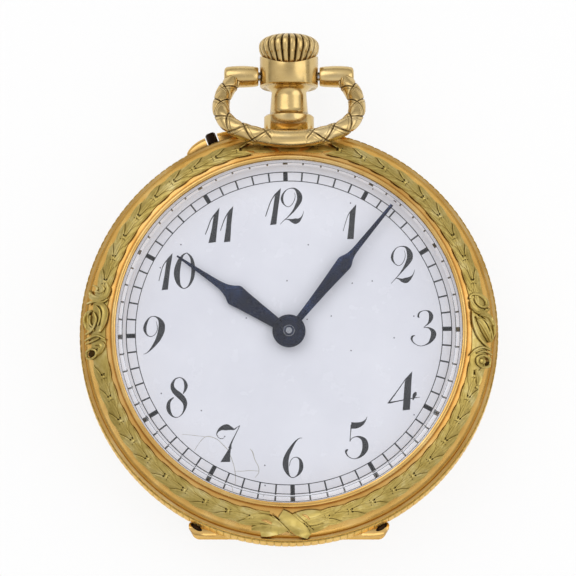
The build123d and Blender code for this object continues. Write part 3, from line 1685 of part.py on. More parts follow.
with BuildPart() as hour_wheel:
    extrude(
        outline(seat(centre, hour_wheel_z), toothed(hour_wheel_teeth, hour_module, hour_phase)),
        amount=hour_wheel_thickness,
    )
    bar(hour_pipe_r, centre, hour_wheel_z, hour_pipe_end_z)
    bar(hour_bore_r, centre, hour_wheel_z, hour_pipe_end_z, mode=Mode.SUBTRACT)
keep(hour_wheel.part, "hour_wheel")

# Dial, with its feet
dial_hole_r = 0.95
with BuildPart() as dial:
    bar(dial_r, centre, dial_back_z, dial_front_z)
    bar(dial_hole_r, centre, dial_back_z, dial_front_z, mode=Mode.SUBTRACT)
    for angle in foot_degrees:
        bar(foot_r, polar(foot_radius, angle), foot_end_z, dial_back_z)
keep(dial.part, "dial")

# Hands: each is a slender leaf, widest at its shoulders, with a stepped boss
minute_root_width = 0.46
minute_shoulder = 6.71
minute_shoulder_width = 1.17
minute_waist = 9.2
minute_waist_width = 0.5
minute_tip_width = 0.23
hour_root_width = 0.84
hour_shoulder = 5.03
hour_shoulder_width = 1.64
hour_waist = 6.6
hour_waist_width = 0.5
hour_tip_width = 0.14
hand_root = 1.1
minute_boss_z = 6.95
minute_boss_end_z = 7.3
boss_step = 0.12
hour_boss_z = 6.56
hour_boss_end_z = 6.84
hour_boss_r = 1.1


def leaf(angle, low, stations):
    """The blade of a hand: stations (radius, width) along an angle clockwise from 12 o'clock."""
    blade = Plane(
        origin=(0, 0, low),
        x_dir=(sin(radians(angle)), cos(radians(angle)), 0),
        z_dir=(0, 0, 1),
    )
    left = [(radius, width / 2) for radius, width in stations]
    right = [(radius, -width / 2) for radius, width in reversed(stations)]
    extrude(outline(blade, left + right), amount=hand_thickness)


with BuildPart() as minute_hand:
    leaf(
        minute_hand_degrees,
        minute_hand_z,
        [
            (hand_root, minute_root_width),
            (minute_shoulder, minute_shoulder_width),
            (minute_waist, minute_waist_width),
            (minute_hand_length, minute_tip_width),
        ],
    )
    bar(hub_r, centre, minute_boss_z, minute_boss_end_z - boss_step)
    bar(hub_r - boss_step, centre, minute_boss_z, minute_boss_end_z)
    bar(cannon_pipe_r, centre, minute_boss_z, minute_boss_end_z, mode=Mode.SUBTRACT)
keep(minute_hand.part, "minute_hand")

with BuildPart() as hour_hand:
    leaf(
        hour_hand_degrees,
        hour_hand_z,
        [
            (hand_root - boss_step, hour_root_width),
            (hour_shoulder, hour_shoulder_width),
            (hour_waist, hour_waist_width),
            (hour_hand_length, hour_tip_width),
        ],
    )
    bar(hour_boss_r, centre, hour_boss_z, hour_boss_end_z)
    bar(hour_pipe_r, centre, hour_boss_z, hour_boss_end_z, mode=Mode.SUBTRACT)
keep(hour_hand.part, "hour_hand")

# Setting pin, its lever and its two guards on the band
pin_end_edge = 0.08
lever_z = 5.0
lever_thickness = 0.25
lever_boss_r = 0.6
lever_tip_r = 0.35
lever_tip_at = polar(pin_head_start - clearance - lever_tip_r, pin_degrees)
guard_start = 0.5
guard_ridge = 0.9
guard_length = 2.3
guard_rise = 0.75
guard_low_z = 4.2
guard_high_z = 5.3
with BuildPart() as setting_pin:
    with BuildSketch(pin_plane.offset(pin_head_start)):
        Circle(pin_head_r)
    extrude(amount=pin_head_length)
    with BuildSketch(pin_plane.offset(pin_head_start + pin_head_length)):
        Circle(pin_r)
    extrude(amount=case_r + pin_proud - pin_head_start - pin_head_length - pin_end_edge)
    with BuildSketch(pin_plane.offset(case_r + pin_proud - pin_end_edge)):
        Circle(pin_r - pin_end_edge)
    extrude(amount=pin_end_edge)
keep(setting_pin.part, "setting_pin")

with BuildPart() as setting_lever:
    stretched([(lever_at, lever_boss_r), (lever_tip_at, lever_tip_r)], lever_z, lever_z + lever_thickness)
    bar(lever_post_r + running_gap, lever_at, lever_z, lever_z + lever_thickness, mode=Mode.SUBTRACT)
keep(setting_lever.part, "setting_lever")

guard_plane = Plane(origin=(0, 0, guard_low_z), x_dir=(pin_way[0], pin_way[1], 0), z_dir=(0, 0, 1))
with BuildPart() as pin_guards:
    for side in (-1, 1):
        extrude(
            outline(
                guard_plane,
                [
                    (case_r - overrun, side * guard_start),
                    (case_r + guard_rise, side * guard_start),
                    (case_r + guard_rise, side * guard_ridge),
                    (case_r, side * guard_length),
                    (case_r - overrun, side * guard_length),
                ],
            ),
            amount=guard_high_z - guard_low_z,
        )
    bar(case_r, centre, guard_low_z, guard_high_z, mode=Mode.SUBTRACT)
keep(pin_guards.part, "pin_guards")
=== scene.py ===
# %% [markdown]
# A pendant watch: the looks
#
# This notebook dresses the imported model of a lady's open-face pendant watch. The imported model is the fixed
# frame: it says where every piece is and which pieces move. Each cell makes one piece or one finish of the
# real watch, and says how it could be made and why it is made this way. Lengths are written in millimetres
# and turned into metres by `mm` where a mesh is made.

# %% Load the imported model
import json
import math

import bpy
import bmesh
from mathutils import Matrix, Vector


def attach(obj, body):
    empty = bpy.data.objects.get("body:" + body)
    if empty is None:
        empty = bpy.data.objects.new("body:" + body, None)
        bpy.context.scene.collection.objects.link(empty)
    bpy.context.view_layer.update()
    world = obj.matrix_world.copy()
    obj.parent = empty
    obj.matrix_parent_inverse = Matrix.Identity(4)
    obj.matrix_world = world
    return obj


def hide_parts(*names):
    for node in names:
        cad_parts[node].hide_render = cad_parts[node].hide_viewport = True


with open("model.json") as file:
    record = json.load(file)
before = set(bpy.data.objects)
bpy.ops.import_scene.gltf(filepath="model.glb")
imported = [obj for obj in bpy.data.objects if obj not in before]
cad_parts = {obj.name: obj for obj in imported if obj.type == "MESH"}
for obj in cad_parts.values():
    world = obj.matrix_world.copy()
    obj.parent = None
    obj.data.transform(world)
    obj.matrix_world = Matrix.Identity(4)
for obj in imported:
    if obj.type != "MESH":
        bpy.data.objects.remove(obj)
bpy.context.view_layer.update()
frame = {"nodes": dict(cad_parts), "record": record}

mm = 0.001


def span(node, axis):
    """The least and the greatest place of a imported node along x, y or z, in millimetres."""
    places = [vertex.co["xyz".index(axis)] / mm for vertex in frame["nodes"][node].data.vertices]
    return round(min(places), 3), round(max(places), 3)


def joint_place(name):
    """Where a joint is, in millimetres."""
    joint = next(j for j in frame["record"]["behaviour"]["joints"] if j["name"] == name)
    return [round(c / mm, 6) for c in joint["pos_m"]]


dial_z = span("dial", "z")[1]
band_r = span("mid_case", "x")[1]
bezel_outer_r = span("bezel", "x")[1]
glass_r = span("crystal", "x")[1]
glass_rim_z, glass_top_z = span("crystal", "z")
crown_low, crown_high = span("crown", "y")
stem_z = joint_place("crown_winding")[2]
print("nodes in the frame:", len(frame["nodes"]), "band radius:", band_r, "dial height:", dial_z)

# %% [markdown]
# Camera. The watch lies on its back and is seen from its 6 o'clock side, about 9 degrees off the straight
# view, through a long lens. A long lens from half a metre away gives the flat look of a catalogue picture.
# The width of the view is the number of pixels of the picture divided by the pixels that one millimetre
# takes.

# %% Camera
picture_pixels = 576
pixels_per_mm = 13.12
tilt = math.radians(9.0)
distance = 0.5
picture_left, picture_up = -0.076, 3.43
towards = Vector((0, -math.sin(tilt), math.cos(tilt)))
upwards = Vector((0, math.cos(tilt), math.sin(tilt)))
view_centre = Vector((picture_left * mm, 0, dial_z * mm)) + upwards * picture_up * mm

camera_data = bpy.data.cameras.new("camera")
camera_data.sensor_width = 36.0
camera_data.lens = 36.0 * distance / (picture_pixels / pixels_per_mm * mm)
camera_data.clip_start = 0.01
camera = bpy.data.objects.new("camera", camera_data)
bpy.context.scene.collection.objects.link(camera)
camera.location = view_centre + towards * distance
camera.rotation_euler = towards.to_track_quat("Z", "Y").to_euler()
bpy.context.scene.camera = camera
bpy.context.scene.view_settings.view_transform = "Standard"
print("lens in millimetres:", round(camera_data.lens))

# %% [markdown]
# Building materials with code. A small helper adds a node and joins or sets its sockets in one line.
# Colours are written as the three numbers of a colour picker, so they are turned into the linear values
# that Blender wants.

# %% Helpers for nodes
def linear(colour):
    """A colour picker's 0 to 255 numbers as linear values with alpha."""
    parts = [c / 255 for c in colour]
    return [p / 12.92 if p <= 0.04045 else ((p + 0.055) / 1.055) ** 2.4 for p in parts] + [1.0]


def plug(tree, node, sockets):
    """Joins a node's sockets to other sockets, or sets them to values."""
    for name, value in dict(sockets).items():
        if isinstance(value, bpy.types.NodeSocket):
            tree.links.new(value, node.inputs[name])
        else:
            node.inputs[name].default_value = value


def add(tree, kind, sockets=(), **settings):
    """A new node with its settings and its sockets."""
    node = tree.nodes.new(kind)
    for name, value in settings.items():
        setattr(node, name, value)
    plug(tree, node, sockets)
    return node


def empty_material(name):
    material = bpy.data.materials.new(name)
    material.use_nodes = True
    return material, material.node_tree, material.node_tree.nodes["Principled BSDF"]


print("a middle grey in linear light:", round(linear((128, 128, 128))[0], 3))

# %% [markdown]
# Nodes that every finish uses. A noise gives a value that wanders between 0 and 1. A ramp turns such a
# value into colours, and a spread turns it into a range of numbers, such as a roughness. A few more join
# two colours, do one step of arithmetic or let light straight through.

# %% Helpers for colour, noise and arithmetic
def ramp(tree, value, stops):
    """A colour ramp through (position, colour) stops."""
    node = add(tree, "ShaderNodeValToRGB", {"Fac": value})
    elements = node.color_ramp.elements
    while len(elements) < len(stops):
        elements.new(0.5)
    for element, (position, colour) in zip(elements, stops):
        element.position = position
        element.color = linear(colour)
    return node.outputs["Color"]


def noise(tree, place, scale, detail=3.0, rough=0.55, twist=0.0):
    return add(tree, "ShaderNodeTexNoise", {"Vector": place, "Scale": scale, "Detail": detail,
                                            "Roughness": rough, "Distortion": twist}).outputs["Fac"]


def spread(tree, value, low, high, start=0.3, end=0.7):
    """A value of a noise, stretched so that start gives low and end gives high."""
    return add(tree, "ShaderNodeMapRange", {"Value": value, "From Min": start, "From Max": end,
                                            "To Min": low, "To Max": high}).outputs["Result"]


def maths(tree, operation, *values, **settings):
    """One step of arithmetic with sockets and numbers."""
    return add(tree, "ShaderNodeMath", dict(enumerate(values)), operation=operation, **settings).outputs[0]


def blend(tree, factor, under, over, kind="MIX"):
    """A colour mixed of two, each a socket or a linear value."""
    return add(tree, "ShaderNodeMix", {0: factor, 6: under, 7: over}, data_type="RGBA",
               blend_type=kind).outputs[2]


def object_place(tree):
    return add(tree, "ShaderNodeTexCoord").outputs["Object"]


def see_through(tree, shader, share, colour=(255, 255, 255)):
    """Makes a share of the surface plainly transparent."""
    clear = add(tree, "ShaderNodeBsdfTransparent", {"Color": linear(colour)})
    mix = add(tree, "ShaderNodeMixShader", {"Fac": share, 1: shader.outputs[0], 2: clear.outputs[0]})
    tree.links.new(mix.outputs[0], tree.nodes["Material Output"].inputs["Surface"])


print("kinds of arithmetic that a Math node offers:",
      len(bpy.types.ShaderNodeMath.bl_rna.properties["operation"].enum_items))

# %% [markdown]
# Gold. Old polished gold is never one colour: it has soft patches, fine wear lines that follow the hand
# that wiped it, and a brown film of grime in its hollows. So the colour comes from a slow noise through a
# ramp, the roughness from a second one, and the wear lines from a noise that is stretched along one
# direction and used as a bump. Meshes that have hollows carry a `hollow` attribute, 0 on top and 1 at the
# bottom, and a dark brown follows it: partly that grime and partly painted shade in every hollow.

# %% Gold and the other metals
def metal(name, tones, dirt_and_shade_colour, roughness=(0.10, 0.26), patch=260, line_scale=(900, 9000, 9000), dent=0.25,
          depth=4e-6, edge=(255, 255, 255)):
    material, tree, shader = empty_material(name)
    place = object_place(tree)
    slow = noise(tree, place, patch, 4.0, 0.6, 0.4)
    colour = ramp(tree, slow, [(0.30, tones[0]), (0.52, tones[1]), (0.74, tones[2])])
    # The dark brown that follows the hollow attribute is partly real grime and partly painted shade in the
    # hollows.
    hollow = add(tree, "ShaderNodeAttribute", attribute_name="hollow").outputs["Fac"]
    patchy_dirt_and_shade = spread(tree, noise(tree, place, patch * 9, 3.0, 0.6), 0.55, 1.15)
    dirt_and_shade_share = maths(tree, "MULTIPLY", hollow, patchy_dirt_and_shade, use_clamp=True)
    rub = spread(tree, noise(tree, place, patch * 3, 4.0, 0.65), roughness[0], roughness[1])
    stretched = add(tree, "ShaderNodeMapping", {"Vector": place, "Scale": line_scale})
    lines = noise(tree, stretched.outputs["Vector"], 1.0, 3.0, 0.6)
    both = maths(tree, "ADD", lines, noise(tree, place, patch * 5, 2.0, 0.5))
    bump = add(tree, "ShaderNodeBump", {"Height": both, "Strength": dent, "Distance": depth})
    plug(tree, shader, {"Base Color": blend(tree, dirt_and_shade_share, colour, linear(dirt_and_shade_colour)),
                        "Roughness": maths(tree, "MULTIPLY_ADD", dirt_and_shade_share, 0.35, rub, use_clamp=True),
                        "Metallic": 1.0, "Specular Tint": linear(edge), "Normal": bump.outputs["Normal"]})
    return material


rose_gold = metal("rose_gold_polished", [(200, 154, 88), (216, 174, 106), (230, 196, 138)], (104, 64, 24))
case_gold = metal("case_gold_polished", [(204, 160, 90), (220, 180, 110), (234, 204, 146)], (100, 70, 26),
                  edge=(252, 226, 170))
green_gold = metal("green_gold_chased", [(176, 154, 82), (200, 178, 104), (226, 210, 148)], (92, 68, 26),
                   roughness=(0.26, 0.44), patch=700, dent=0.5)
pale_gold = metal("pale_gold_polished", [(200, 170, 110), (215, 187, 129), (230, 207, 158)], (66, 44, 16),
                  roughness=(0.17, 0.32))
gilt_brass = metal("gilt_brass_grained", [(184, 146, 72), (204, 168, 94), (220, 188, 120)], (96, 70, 26),
                   roughness=(0.28, 0.45), line_scale=(5000, 5000, 5000), dent=0.5, depth=3e-6)
steel = metal("steel_polished", [(150, 152, 156), (178, 180, 184), (202, 204, 208)], (70, 66, 62),
              roughness=(0.12, 0.28), line_scale=(600, 12000, 12000))
blued_steel = metal("steel_blued", [(12, 16, 32), (20, 29, 54), (40, 58, 92)], (10, 12, 20),
                    roughness=(0.2, 0.38), patch=420)
dark_steel = metal("steel_browned", [(34, 24, 18), (56, 40, 28), (86, 64, 44)], (20, 14, 10),
                   roughness=(0.3, 0.5), patch=900)
print("metals:", len(bpy.data.materials))

# %% [markdown]
# Enamel, crystal and ruby. Dial enamel is a milky glass fired on copper: a pale cool grey with tiny specks
# and a clear gloss on top. The crystal bends what is under its bevel, as in the picture, where the minute
# marks show twice. Light that is on its way to the dial passes it unbent, which keeps the dial clean and
# the render quick.

# %% Enamel, ink, crystal and ruby
speck_radius, unspecked_share = 0.034, 0.86


def enamel_material():
    material, tree, shader = empty_material("enamel_fired")
    place = object_place(tree)
    cloud = ramp(tree, noise(tree, place, 130, 4.0, 0.6), [(0.3, (227, 228, 233)), (0.7, (237, 238, 242))])
    cells = add(tree, "ShaderNodeTexVoronoi", {"Vector": place, "Scale": 620.0, "Randomness": 1.0},
                voronoi_dimensions="2D").outputs
    chosen = add(tree, "ShaderNodeSeparateColor", {"Color": cells["Color"]}).outputs[0]
    speck = maths(tree, "MULTIPLY", maths(tree, "LESS_THAN", cells["Distance"], speck_radius),
                  maths(tree, "GREATER_THAN", chosen, unspecked_share))
    dots = ramp(tree, speck, [(0.0, (255, 255, 255)), (1.0, (120, 116, 122))])
    bump = add(tree, "ShaderNodeBump", {"Height": noise(tree, place, 500, 2.0), "Strength": 0.12,
                                        "Distance": 8e-6})
    plug(tree, shader, {"Base Color": blend(tree, 1.0, cloud, dots, "MULTIPLY"),
                        "Roughness": spread(tree, noise(tree, place, 700), 0.16, 0.3),
                        "Normal": bump.outputs["Normal"]})
    return material


def mottled(name, grain, dark, light, upper, fine, roughness):
    """One colour with soft lighter patches: the noise's grain makes the patches, and fine the gloss."""
    material, tree, shader = empty_material(name)
    place = object_place(tree)
    plug(tree, shader, {"Base Color": ramp(tree, noise(tree, place, *grain), [(0.3, dark), (upper, light)]),
                        "Roughness": spread(tree, noise(tree, place, fine), *roughness)})
    return material


def crystal_material():
    material, tree, shader = empty_material("crystal_clear")
    smear = noise(tree, object_place(tree), 900, 5.0, 0.7)
    plug(tree, shader, {"Base Color": linear((252, 253, 255)), "Transmission Weight": 1.0, "IOR": 1.5,
                        "Specular IOR Level": 0.15, "Roughness": spread(tree, smear, 0.0, 0.02)})
    light = add(tree, "ShaderNodeLightPath").outputs
    unseen = maths(tree, "MAXIMUM", light["Is Shadow Ray"], light["Is Diffuse Ray"])
    see_through(tree, shader, unseen, (250, 250, 252))
    return material


enamel = enamel_material()
ink = mottled("numeral_ink", (2600, 4.0, 0.7), (8, 9, 12), (26, 28, 33), 0.72, 1800, (0.3, 0.5))
crack_ink = mottled("old_crack", (2600, 4.0, 0.7), (148, 144, 132), (196, 192, 182), 0.72, 1800, (0.3, 0.5))
crystal = crystal_material()
ruby = mottled("ruby_polished", (1600, 3.0), (120, 14, 34), (196, 40, 70), 0.7, 1200, (0.05, 0.15))
ruby.node_tree.nodes["Principled BSDF"].inputs["Coat Weight"].default_value = 0.5

finishes = {"case_gold": case_gold, "rose_gold": rose_gold, "pale_gold": pale_gold, "green_gold": green_gold,
            "gilt_brass": gilt_brass, "steel": steel, "dark_steel": dark_steel, "blued_steel": blued_steel,
            "enamel": enamel, "crystal": crystal, "ruby": ruby}
slot_of = {p["node"]: p["material_slot"] for p in frame["record"]["subparts"]}
body_of = {n: b for b, names in frame["record"]["behaviour"]["bodies"].items() for n in names}
for node, thing in frame["nodes"].items():
    thing.data.materials.clear()
    thing.data.materials.append(finishes[slot_of[node]])
print("finishes:", ", ".join(sorted(finishes)))

# %% [markdown]
# Meshes. Turned pieces, such as the bezel and the crystal, are lathe work: a profile swept round an axis.
# Chased ornament is a strip of relief that follows a line and has the same cross-section all along. Both
# are rows of vertices with a skin of faces between them. Faces are joined, turned outwards and shaded
# smooth up to a sharp angle.

# %% Helpers for meshes
weld = 1e-7


def link(thing):
    bpy.context.scene.collection.objects.link(thing)
    return thing


def new_shape():
    """An empty bmesh with the `hollow` attribute."""
    # The hollow value later sets how much dark brown, partly grime and partly painted shade, a place takes.
    built = bmesh.new()
    return built, built.verts.layers.float.new("hollow")


def vertex_at(built, hollow, place, deep):
    vertex = built.verts.new(place)
    if hollow is not None:
        vertex[hollow] = deep
    return vertex


def corner(built, hollow, x, y, z, deep=0.0):
    """A vertex at a place in millimetres."""
    return vertex_at(built, hollow, (x * mm, y * mm, z * mm), deep)


def skin(built, rows, ring=False):
    """Faces between neighbouring rows of vertices, all the way round where the rows are rings."""
    for low, high in zip(rows, rows[1:]):
        for k in range(len(low) if ring else len(low) - 1):
            n = (k + 1) % len(low)
            built.faces.new((low[k], low[n], high[n], high[k]))


def mesh_of(name, built):
    mesh = bpy.data.meshes.new(name)
    built.to_mesh(mesh)
    built.free()
    return mesh


def finish_mesh(name, built, material, sharp=35.0):
    """Turns a bmesh in metres into a shaded object at the origin."""
    bmesh.ops.remove_doubles(built, verts=built.verts, dist=weld)
    bmesh.ops.recalc_face_normals(built, faces=built.faces)
    return shaded(name, mesh_of(name, built), material, sharp)


def shaded(name, mesh, material, sharp=35.0):
    for polygon in mesh.polygons:
        polygon.use_smooth = True
    mesh.set_sharp_from_angle(angle=math.radians(sharp))
    mesh.materials.clear()
    mesh.materials.append(material)
    return link(bpy.data.objects.new(name, mesh))


print("vertices this close, in metres, are joined:", weld)

# %% [markdown]
# Outlines. Round and even shapes are worked out and not typed point by point: equal turns of a circle, an
# arc through three points of a profile, a smooth line through a few places, and a section whose left half
# mirrors its right half.

# %% Helpers for outlines
def polar(r, angle):
    return r * math.cos(angle), r * math.sin(angle)


def angles_round(count):
    """Equal turns of a full circle, in radians."""
    return [2 * math.pi * k / count for k in range(count)]


def heading(line, i):
    """The unit direction in the plan of a line at one of its points."""
    before, after = line[max(i - 1, 0)], line[min(i + 1, len(line) - 1)]
    dx, dy = after[0] - before[0], after[1] - before[1]
    size = math.hypot(dx, dy) or 1.0
    return dx / size, dy / size


def both_sides(half):
    """A section alike on both sides, from the points of its right half. Points at 0 aren't doubled."""
    return [(-across, *rest) for across, *rest in reversed(half) if across > 0] + half


def arc_through(start, middle, end, count):
    """Points of the arc through three points of a profile, the ends included."""
    (ax, ay), (bx, by), (cx, cy) = start, middle, end
    d = 2 * (ax * (by - cy) + bx * (cy - ay) + cx * (ay - by))
    ux = ((ax**2 + ay**2) * (by - cy) + (bx**2 + by**2) * (cy - ay) + (cx**2 + cy**2) * (ay - by)) / d
    uy = ((ax**2 + ay**2) * (cx - bx) + (bx**2 + by**2) * (ax - cx) + (cx**2 + cy**2) * (bx - ax)) / d
    radius = math.hypot(ax - ux, ay - uy)
    first = math.atan2(ay - uy, ax - ux)
    last = math.atan2(cy - uy, cx - ux)
    turn = (last - first + math.pi) % (2 * math.pi) - math.pi
    steps = [polar(radius, first + turn * i / (count - 1)) for i in range(count)]
    return [(ux + x, uy + y) for x, y in steps]


def smooth_line(points, per_span=6):
    """A smooth line through the given points of any number of coordinates."""
    result = []
    for i in range(len(points) - 1):
        p0 = points[max(i - 1, 0)]
        p1, p2 = points[i], points[i + 1]
        p3 = points[min(i + 2, len(points) - 1)]
        for k in range(per_span):
            t = k / per_span
            result.append(tuple(0.5 * (2 * b + (c - a) * t + (2 * a - 5 * b + 4 * c - d) * t * t
                                       + (3 * b - a - 3 * c + d) * t**3)
                                for a, b, c, d in zip(p0, p1, p2, p3)))
    result.append(tuple(points[-1]))
    return result


print("points of a smooth line through three places:", len(smooth_line([(0, 0), (1, 1), (2, 0)])))

# %% [markdown]
# Pieces. A turned piece is its profile swept round an axis. Where the imported shape is already right, the
# visible piece is a copy of it that is shaded smooth. Every finished piece is then settled: it rides on the
# body that it belongs to, and may stand for imported nodes, which are hidden.

# %% Helpers for finished pieces
def lathe(name, profile, material, steps=256, closed=True, place=None, sharp=35.0):
    """Sweeps a profile of (radius, height) points in millimetres round the Z axis."""
    built = bmesh.new()
    rings = [[corner(built, None, *polar(r, a), h) for a in angles_round(steps)] for r, h in profile]
    skin(built, rings + rings[:1] if closed else rings, ring=True)
    bmesh.ops.remove_doubles(built, verts=built.verts, dist=weld)
    loose = [f for f in built.faces if f.calc_area() < 1e-16]
    bmesh.ops.delete(built, geom=loose, context="FACES")
    if place:
        bmesh.ops.transform(built, matrix=place, verts=built.verts)
    return finish_mesh(name, built, material, sharp)


def smooth_copy(name, node, material, sharp=30.0):
    """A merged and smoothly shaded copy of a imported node."""
    built = bmesh.new()
    built.from_mesh(frame["nodes"][node].data)
    bmesh.ops.remove_doubles(built, verts=built.verts, dist=weld)
    return shaded(name, mesh_of(name, built), material, sharp)


def handed(side):
    return "right" if side > 0 else "left"


def settle(piece, body, slot, *nodes):
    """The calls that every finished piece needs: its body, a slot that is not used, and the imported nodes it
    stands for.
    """
    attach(piece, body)
    if nodes:
        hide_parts(*nodes)
    print(f"{piece.name}: {len(piece.data.polygons)} faces")


print("bodies that pieces can ride on:", len(set(body_of.values())))

# %% [markdown]
# Copies round the watch. The milled edge, the garland and the minute marks are one shape, repeated at equal
# turns about the centre. Geometry Nodes do this well: a line of points that all lie at the centre, an
# instance on each, and a rotation that grows with the index. `Wander` turns each copy a little at random,
# as handwork does, from a fixed seed. The tree ends in Realize Instances and Set Material, and the result
# is kept as a plain mesh.

# %% A Geometry Nodes tree for copies round the centre
def round_tree():
    tree = bpy.data.node_groups.new("copies_round_the_centre", "GeometryNodeTree")
    tree.interface.new_socket("Geometry", in_out="OUTPUT", socket_type="NodeSocketGeometry")
    for label, kind in (("Copy", "Object"), ("Count", "Int"), ("First Turn", "Float"), ("Turn Each", "Float"),
                        ("Wander", "Float"), ("Seed", "Int"), ("Finish", "Material")):
        tree.interface.new_socket(label, in_out="INPUT", socket_type="NodeSocket" + kind)
    given = tree.nodes.new("NodeGroupInput").outputs
    shape = add(tree, "GeometryNodeObjectInfo", {"Object": given["Copy"]})
    points = add(tree, "GeometryNodeMeshLine", {"Count": given["Count"], "Offset": (0, 0, 0)})
    index = add(tree, "GeometryNodeInputIndex").outputs[0]
    turned = maths(tree, "MULTIPLY_ADD", index, given["Turn Each"], given["First Turn"])
    back = maths(tree, "MULTIPLY", given["Wander"], -1.0)
    chance = add(tree, "FunctionNodeRandomValue", {2: back, 3: given["Wander"], "Seed": given["Seed"]},
                 data_type="FLOAT")
    vector = add(tree, "ShaderNodeCombineXYZ", {"Z": maths(tree, "ADD", turned, chance.outputs[1])})
    rotation = add(tree, "FunctionNodeEulerToRotation", {0: vector.outputs[0]})
    placed = add(tree, "GeometryNodeInstanceOnPoints", {"Points": points.outputs[0],
                                                        "Instance": shape.outputs["Geometry"],
                                                        "Rotation": rotation.outputs[0]})
    real = add(tree, "GeometryNodeRealizeInstances", {"Geometry": placed.outputs[0]})
    painted = add(tree, "GeometryNodeSetMaterial", {"Geometry": real.outputs[0], "Material": given["Finish"]})
    out = tree.nodes.new("NodeGroupOutput")
    tree.links.new(painted.outputs[0], out.inputs[0])
    return tree


copies_round = round_tree()
inputs_of = {item.name: item.identifier for item in copies_round.interface.items_tree
             if item.in_out == "INPUT"}


def repeat_round(name, copy, count, first, each, material, wander=0.0, seed=1):
    """A plain object of copies of a shape round the centre. The shape itself is removed."""
    holder = link(bpy.data.objects.new(name + "_holder", bpy.data.meshes.new(name + "_holder")))
    modifier = holder.modifiers.new("copies", "NODES")
    modifier.node_group = copies_round
    for label, value in (("Copy", copy), ("Count", count), ("First Turn", math.radians(first)),
                         ("Turn Each", math.radians(each)), ("Wander", math.radians(wander)), ("Seed", seed),
                         ("Finish", material)):
        modifier[inputs_of[label]] = value
    view = bpy.context.evaluated_depsgraph_get()
    mesh = bpy.data.meshes.new_from_object(holder.evaluated_get(view))
    bpy.data.objects.remove(holder)
    bpy.data.objects.remove(copy)
    mesh.name = name
    return link(bpy.data.objects.new(name, mesh))


print("tree:", copies_round.name)

# %% [markdown]
# The milled case band. The edge of the case is milled like a coin: about 178 small ribs. The band under
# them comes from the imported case, with its joint knuckles, drawn in by the height of a rib. Each rib is a
# low rounded strip with sloping ends.

# %% Case band and its ribs
rib_height = 0.11
rib_count = 178
rib_middle_z = 4.1
milled_low, milled_high = 2.7, 5.5
knuckle_top, knuckle_lowered = 2.88, 2.3
knuckle_y, knuckle_r = joint_place("back_cover_hinge")[1], 0.58


def knuckle_drawn_in(y):
    """How far the end of a joint knuckle is rounded off at a place across it."""
    return 0.3 * min(1.0, ((y - knuckle_y) / knuckle_r) ** 4)


def case_band():
    """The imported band, drawn in under the ribs, with the flat tops of the outer knuckles let down."""
    piece = smooth_copy("case_band", "mid_case", case_gold)
    for vertex in piece.data.vertices:
        x, y, z = (c / mm for c in vertex.co)
        r = math.hypot(x, y)
        if band_r - 0.2 < r < band_r + 0.01 and milled_low < z < milled_high:
            share = (r - rib_height) / r
            vertex.co.x *= share
            vertex.co.y *= share
        elif y < -14.1 and abs(x) > 4.5 and r > 15.0 and z < 2.95:
            if abs(z - knuckle_top) < 0.03:
                vertex.co.z = knuckle_lowered * mm
            if abs(x) > 7.0:
                vertex.co.x -= math.copysign(knuckle_drawn_in(y), x) * mm
    return piece


milled_gold = metal("milled_gold", [(216, 178, 102), (230, 196, 118), (242, 216, 148)], (74, 50, 18),
                    roughness=(0.2, 0.36), patch=500, edge=(254, 228, 168))


def rib():
    """One rib: its section across, and the levels along its height where that section grows and fades."""
    built, hollow = new_shape()
    full = 0.1
    section = both_sides([(0.1, full), (0.225, 0.088), (0.262, 0.055), (0.28, 0.0)])
    levels = both_sides([(0.85, 1.0, 0.055), (1.13, 1.0, 0.0), (1.23, 0.8, 0.0), (1.32, 0.0, 0.0)])
    rows = []
    for up, share, floor in levels:
        heights = [(t, max(h * share, floor)) for t, h in section]
        # The low sides and the ends of each rib are marked deep, so they take the dark brown of grime and
        # painted shade.
        rows.append([corner(built, hollow, band_r - rib_height + height, t, rib_middle_z + up,
                            1.0 - height / full if share == 1.0 else 0.6) for t, height in heights])
    skin(built, rows)
    return finish_mesh("rib", built, milled_gold, 60)


settle(case_band(), "case", "case_gold", "mid_case")
settle(repeat_round("milled_edge", rib(), rib_count, 0.0, 360 / rib_count, milled_gold), "case", "case_gold")

# %% [markdown]
# The bezel. It is one turned ring: a narrow bright lip round the crystal, then a hollow field that falls
# outwards and carries the ornament, then a plain edge. The profile is swept with a fine step so that the
# polish is even. The field's ground was left matt and has turned orange. The lip is lighter, partly worn
# bright and partly a painted highlight, and a dark ring where the lip meets the field and a darker outer
# edge are painted shade, so the colour follows the distance from the centre.

# %% Bezel
field_inner = (13.57, 7.55)
field_middle = (14.625, 7.015)
field_outer = (15.4, 6.2)
lip_inner_r = 13.2
field_arc = arc_through(field_inner, field_middle, field_outer, 33)


def field_height(r):
    """Height of the ornament's ground and the slope of its normal at a radius."""
    r = min(max(r, field_inner[0]), field_outer[0])
    for (r0, z0), (r1, z1) in zip(field_arc, field_arc[1:]):
        if r <= r1:
            share = (r - r0) / (r1 - r0)
            length = math.hypot(r1 - r0, z1 - z0)
            return z0 + share * (z1 - z0), ((z0 - z1) / length, (r1 - r0) / length)
    return field_outer[1], (0.6, 0.8)


def on_field(x, y, h):
    """A point of the ground under (x, y), lifted by h along the ground's normal, in metres."""
    r = math.hypot(x, y)
    z, (nr, nz) = field_height(r)
    share = (r + nr * h) / r
    return Vector((x * share * mm, y * share * mm, (z + nz * h) * mm))


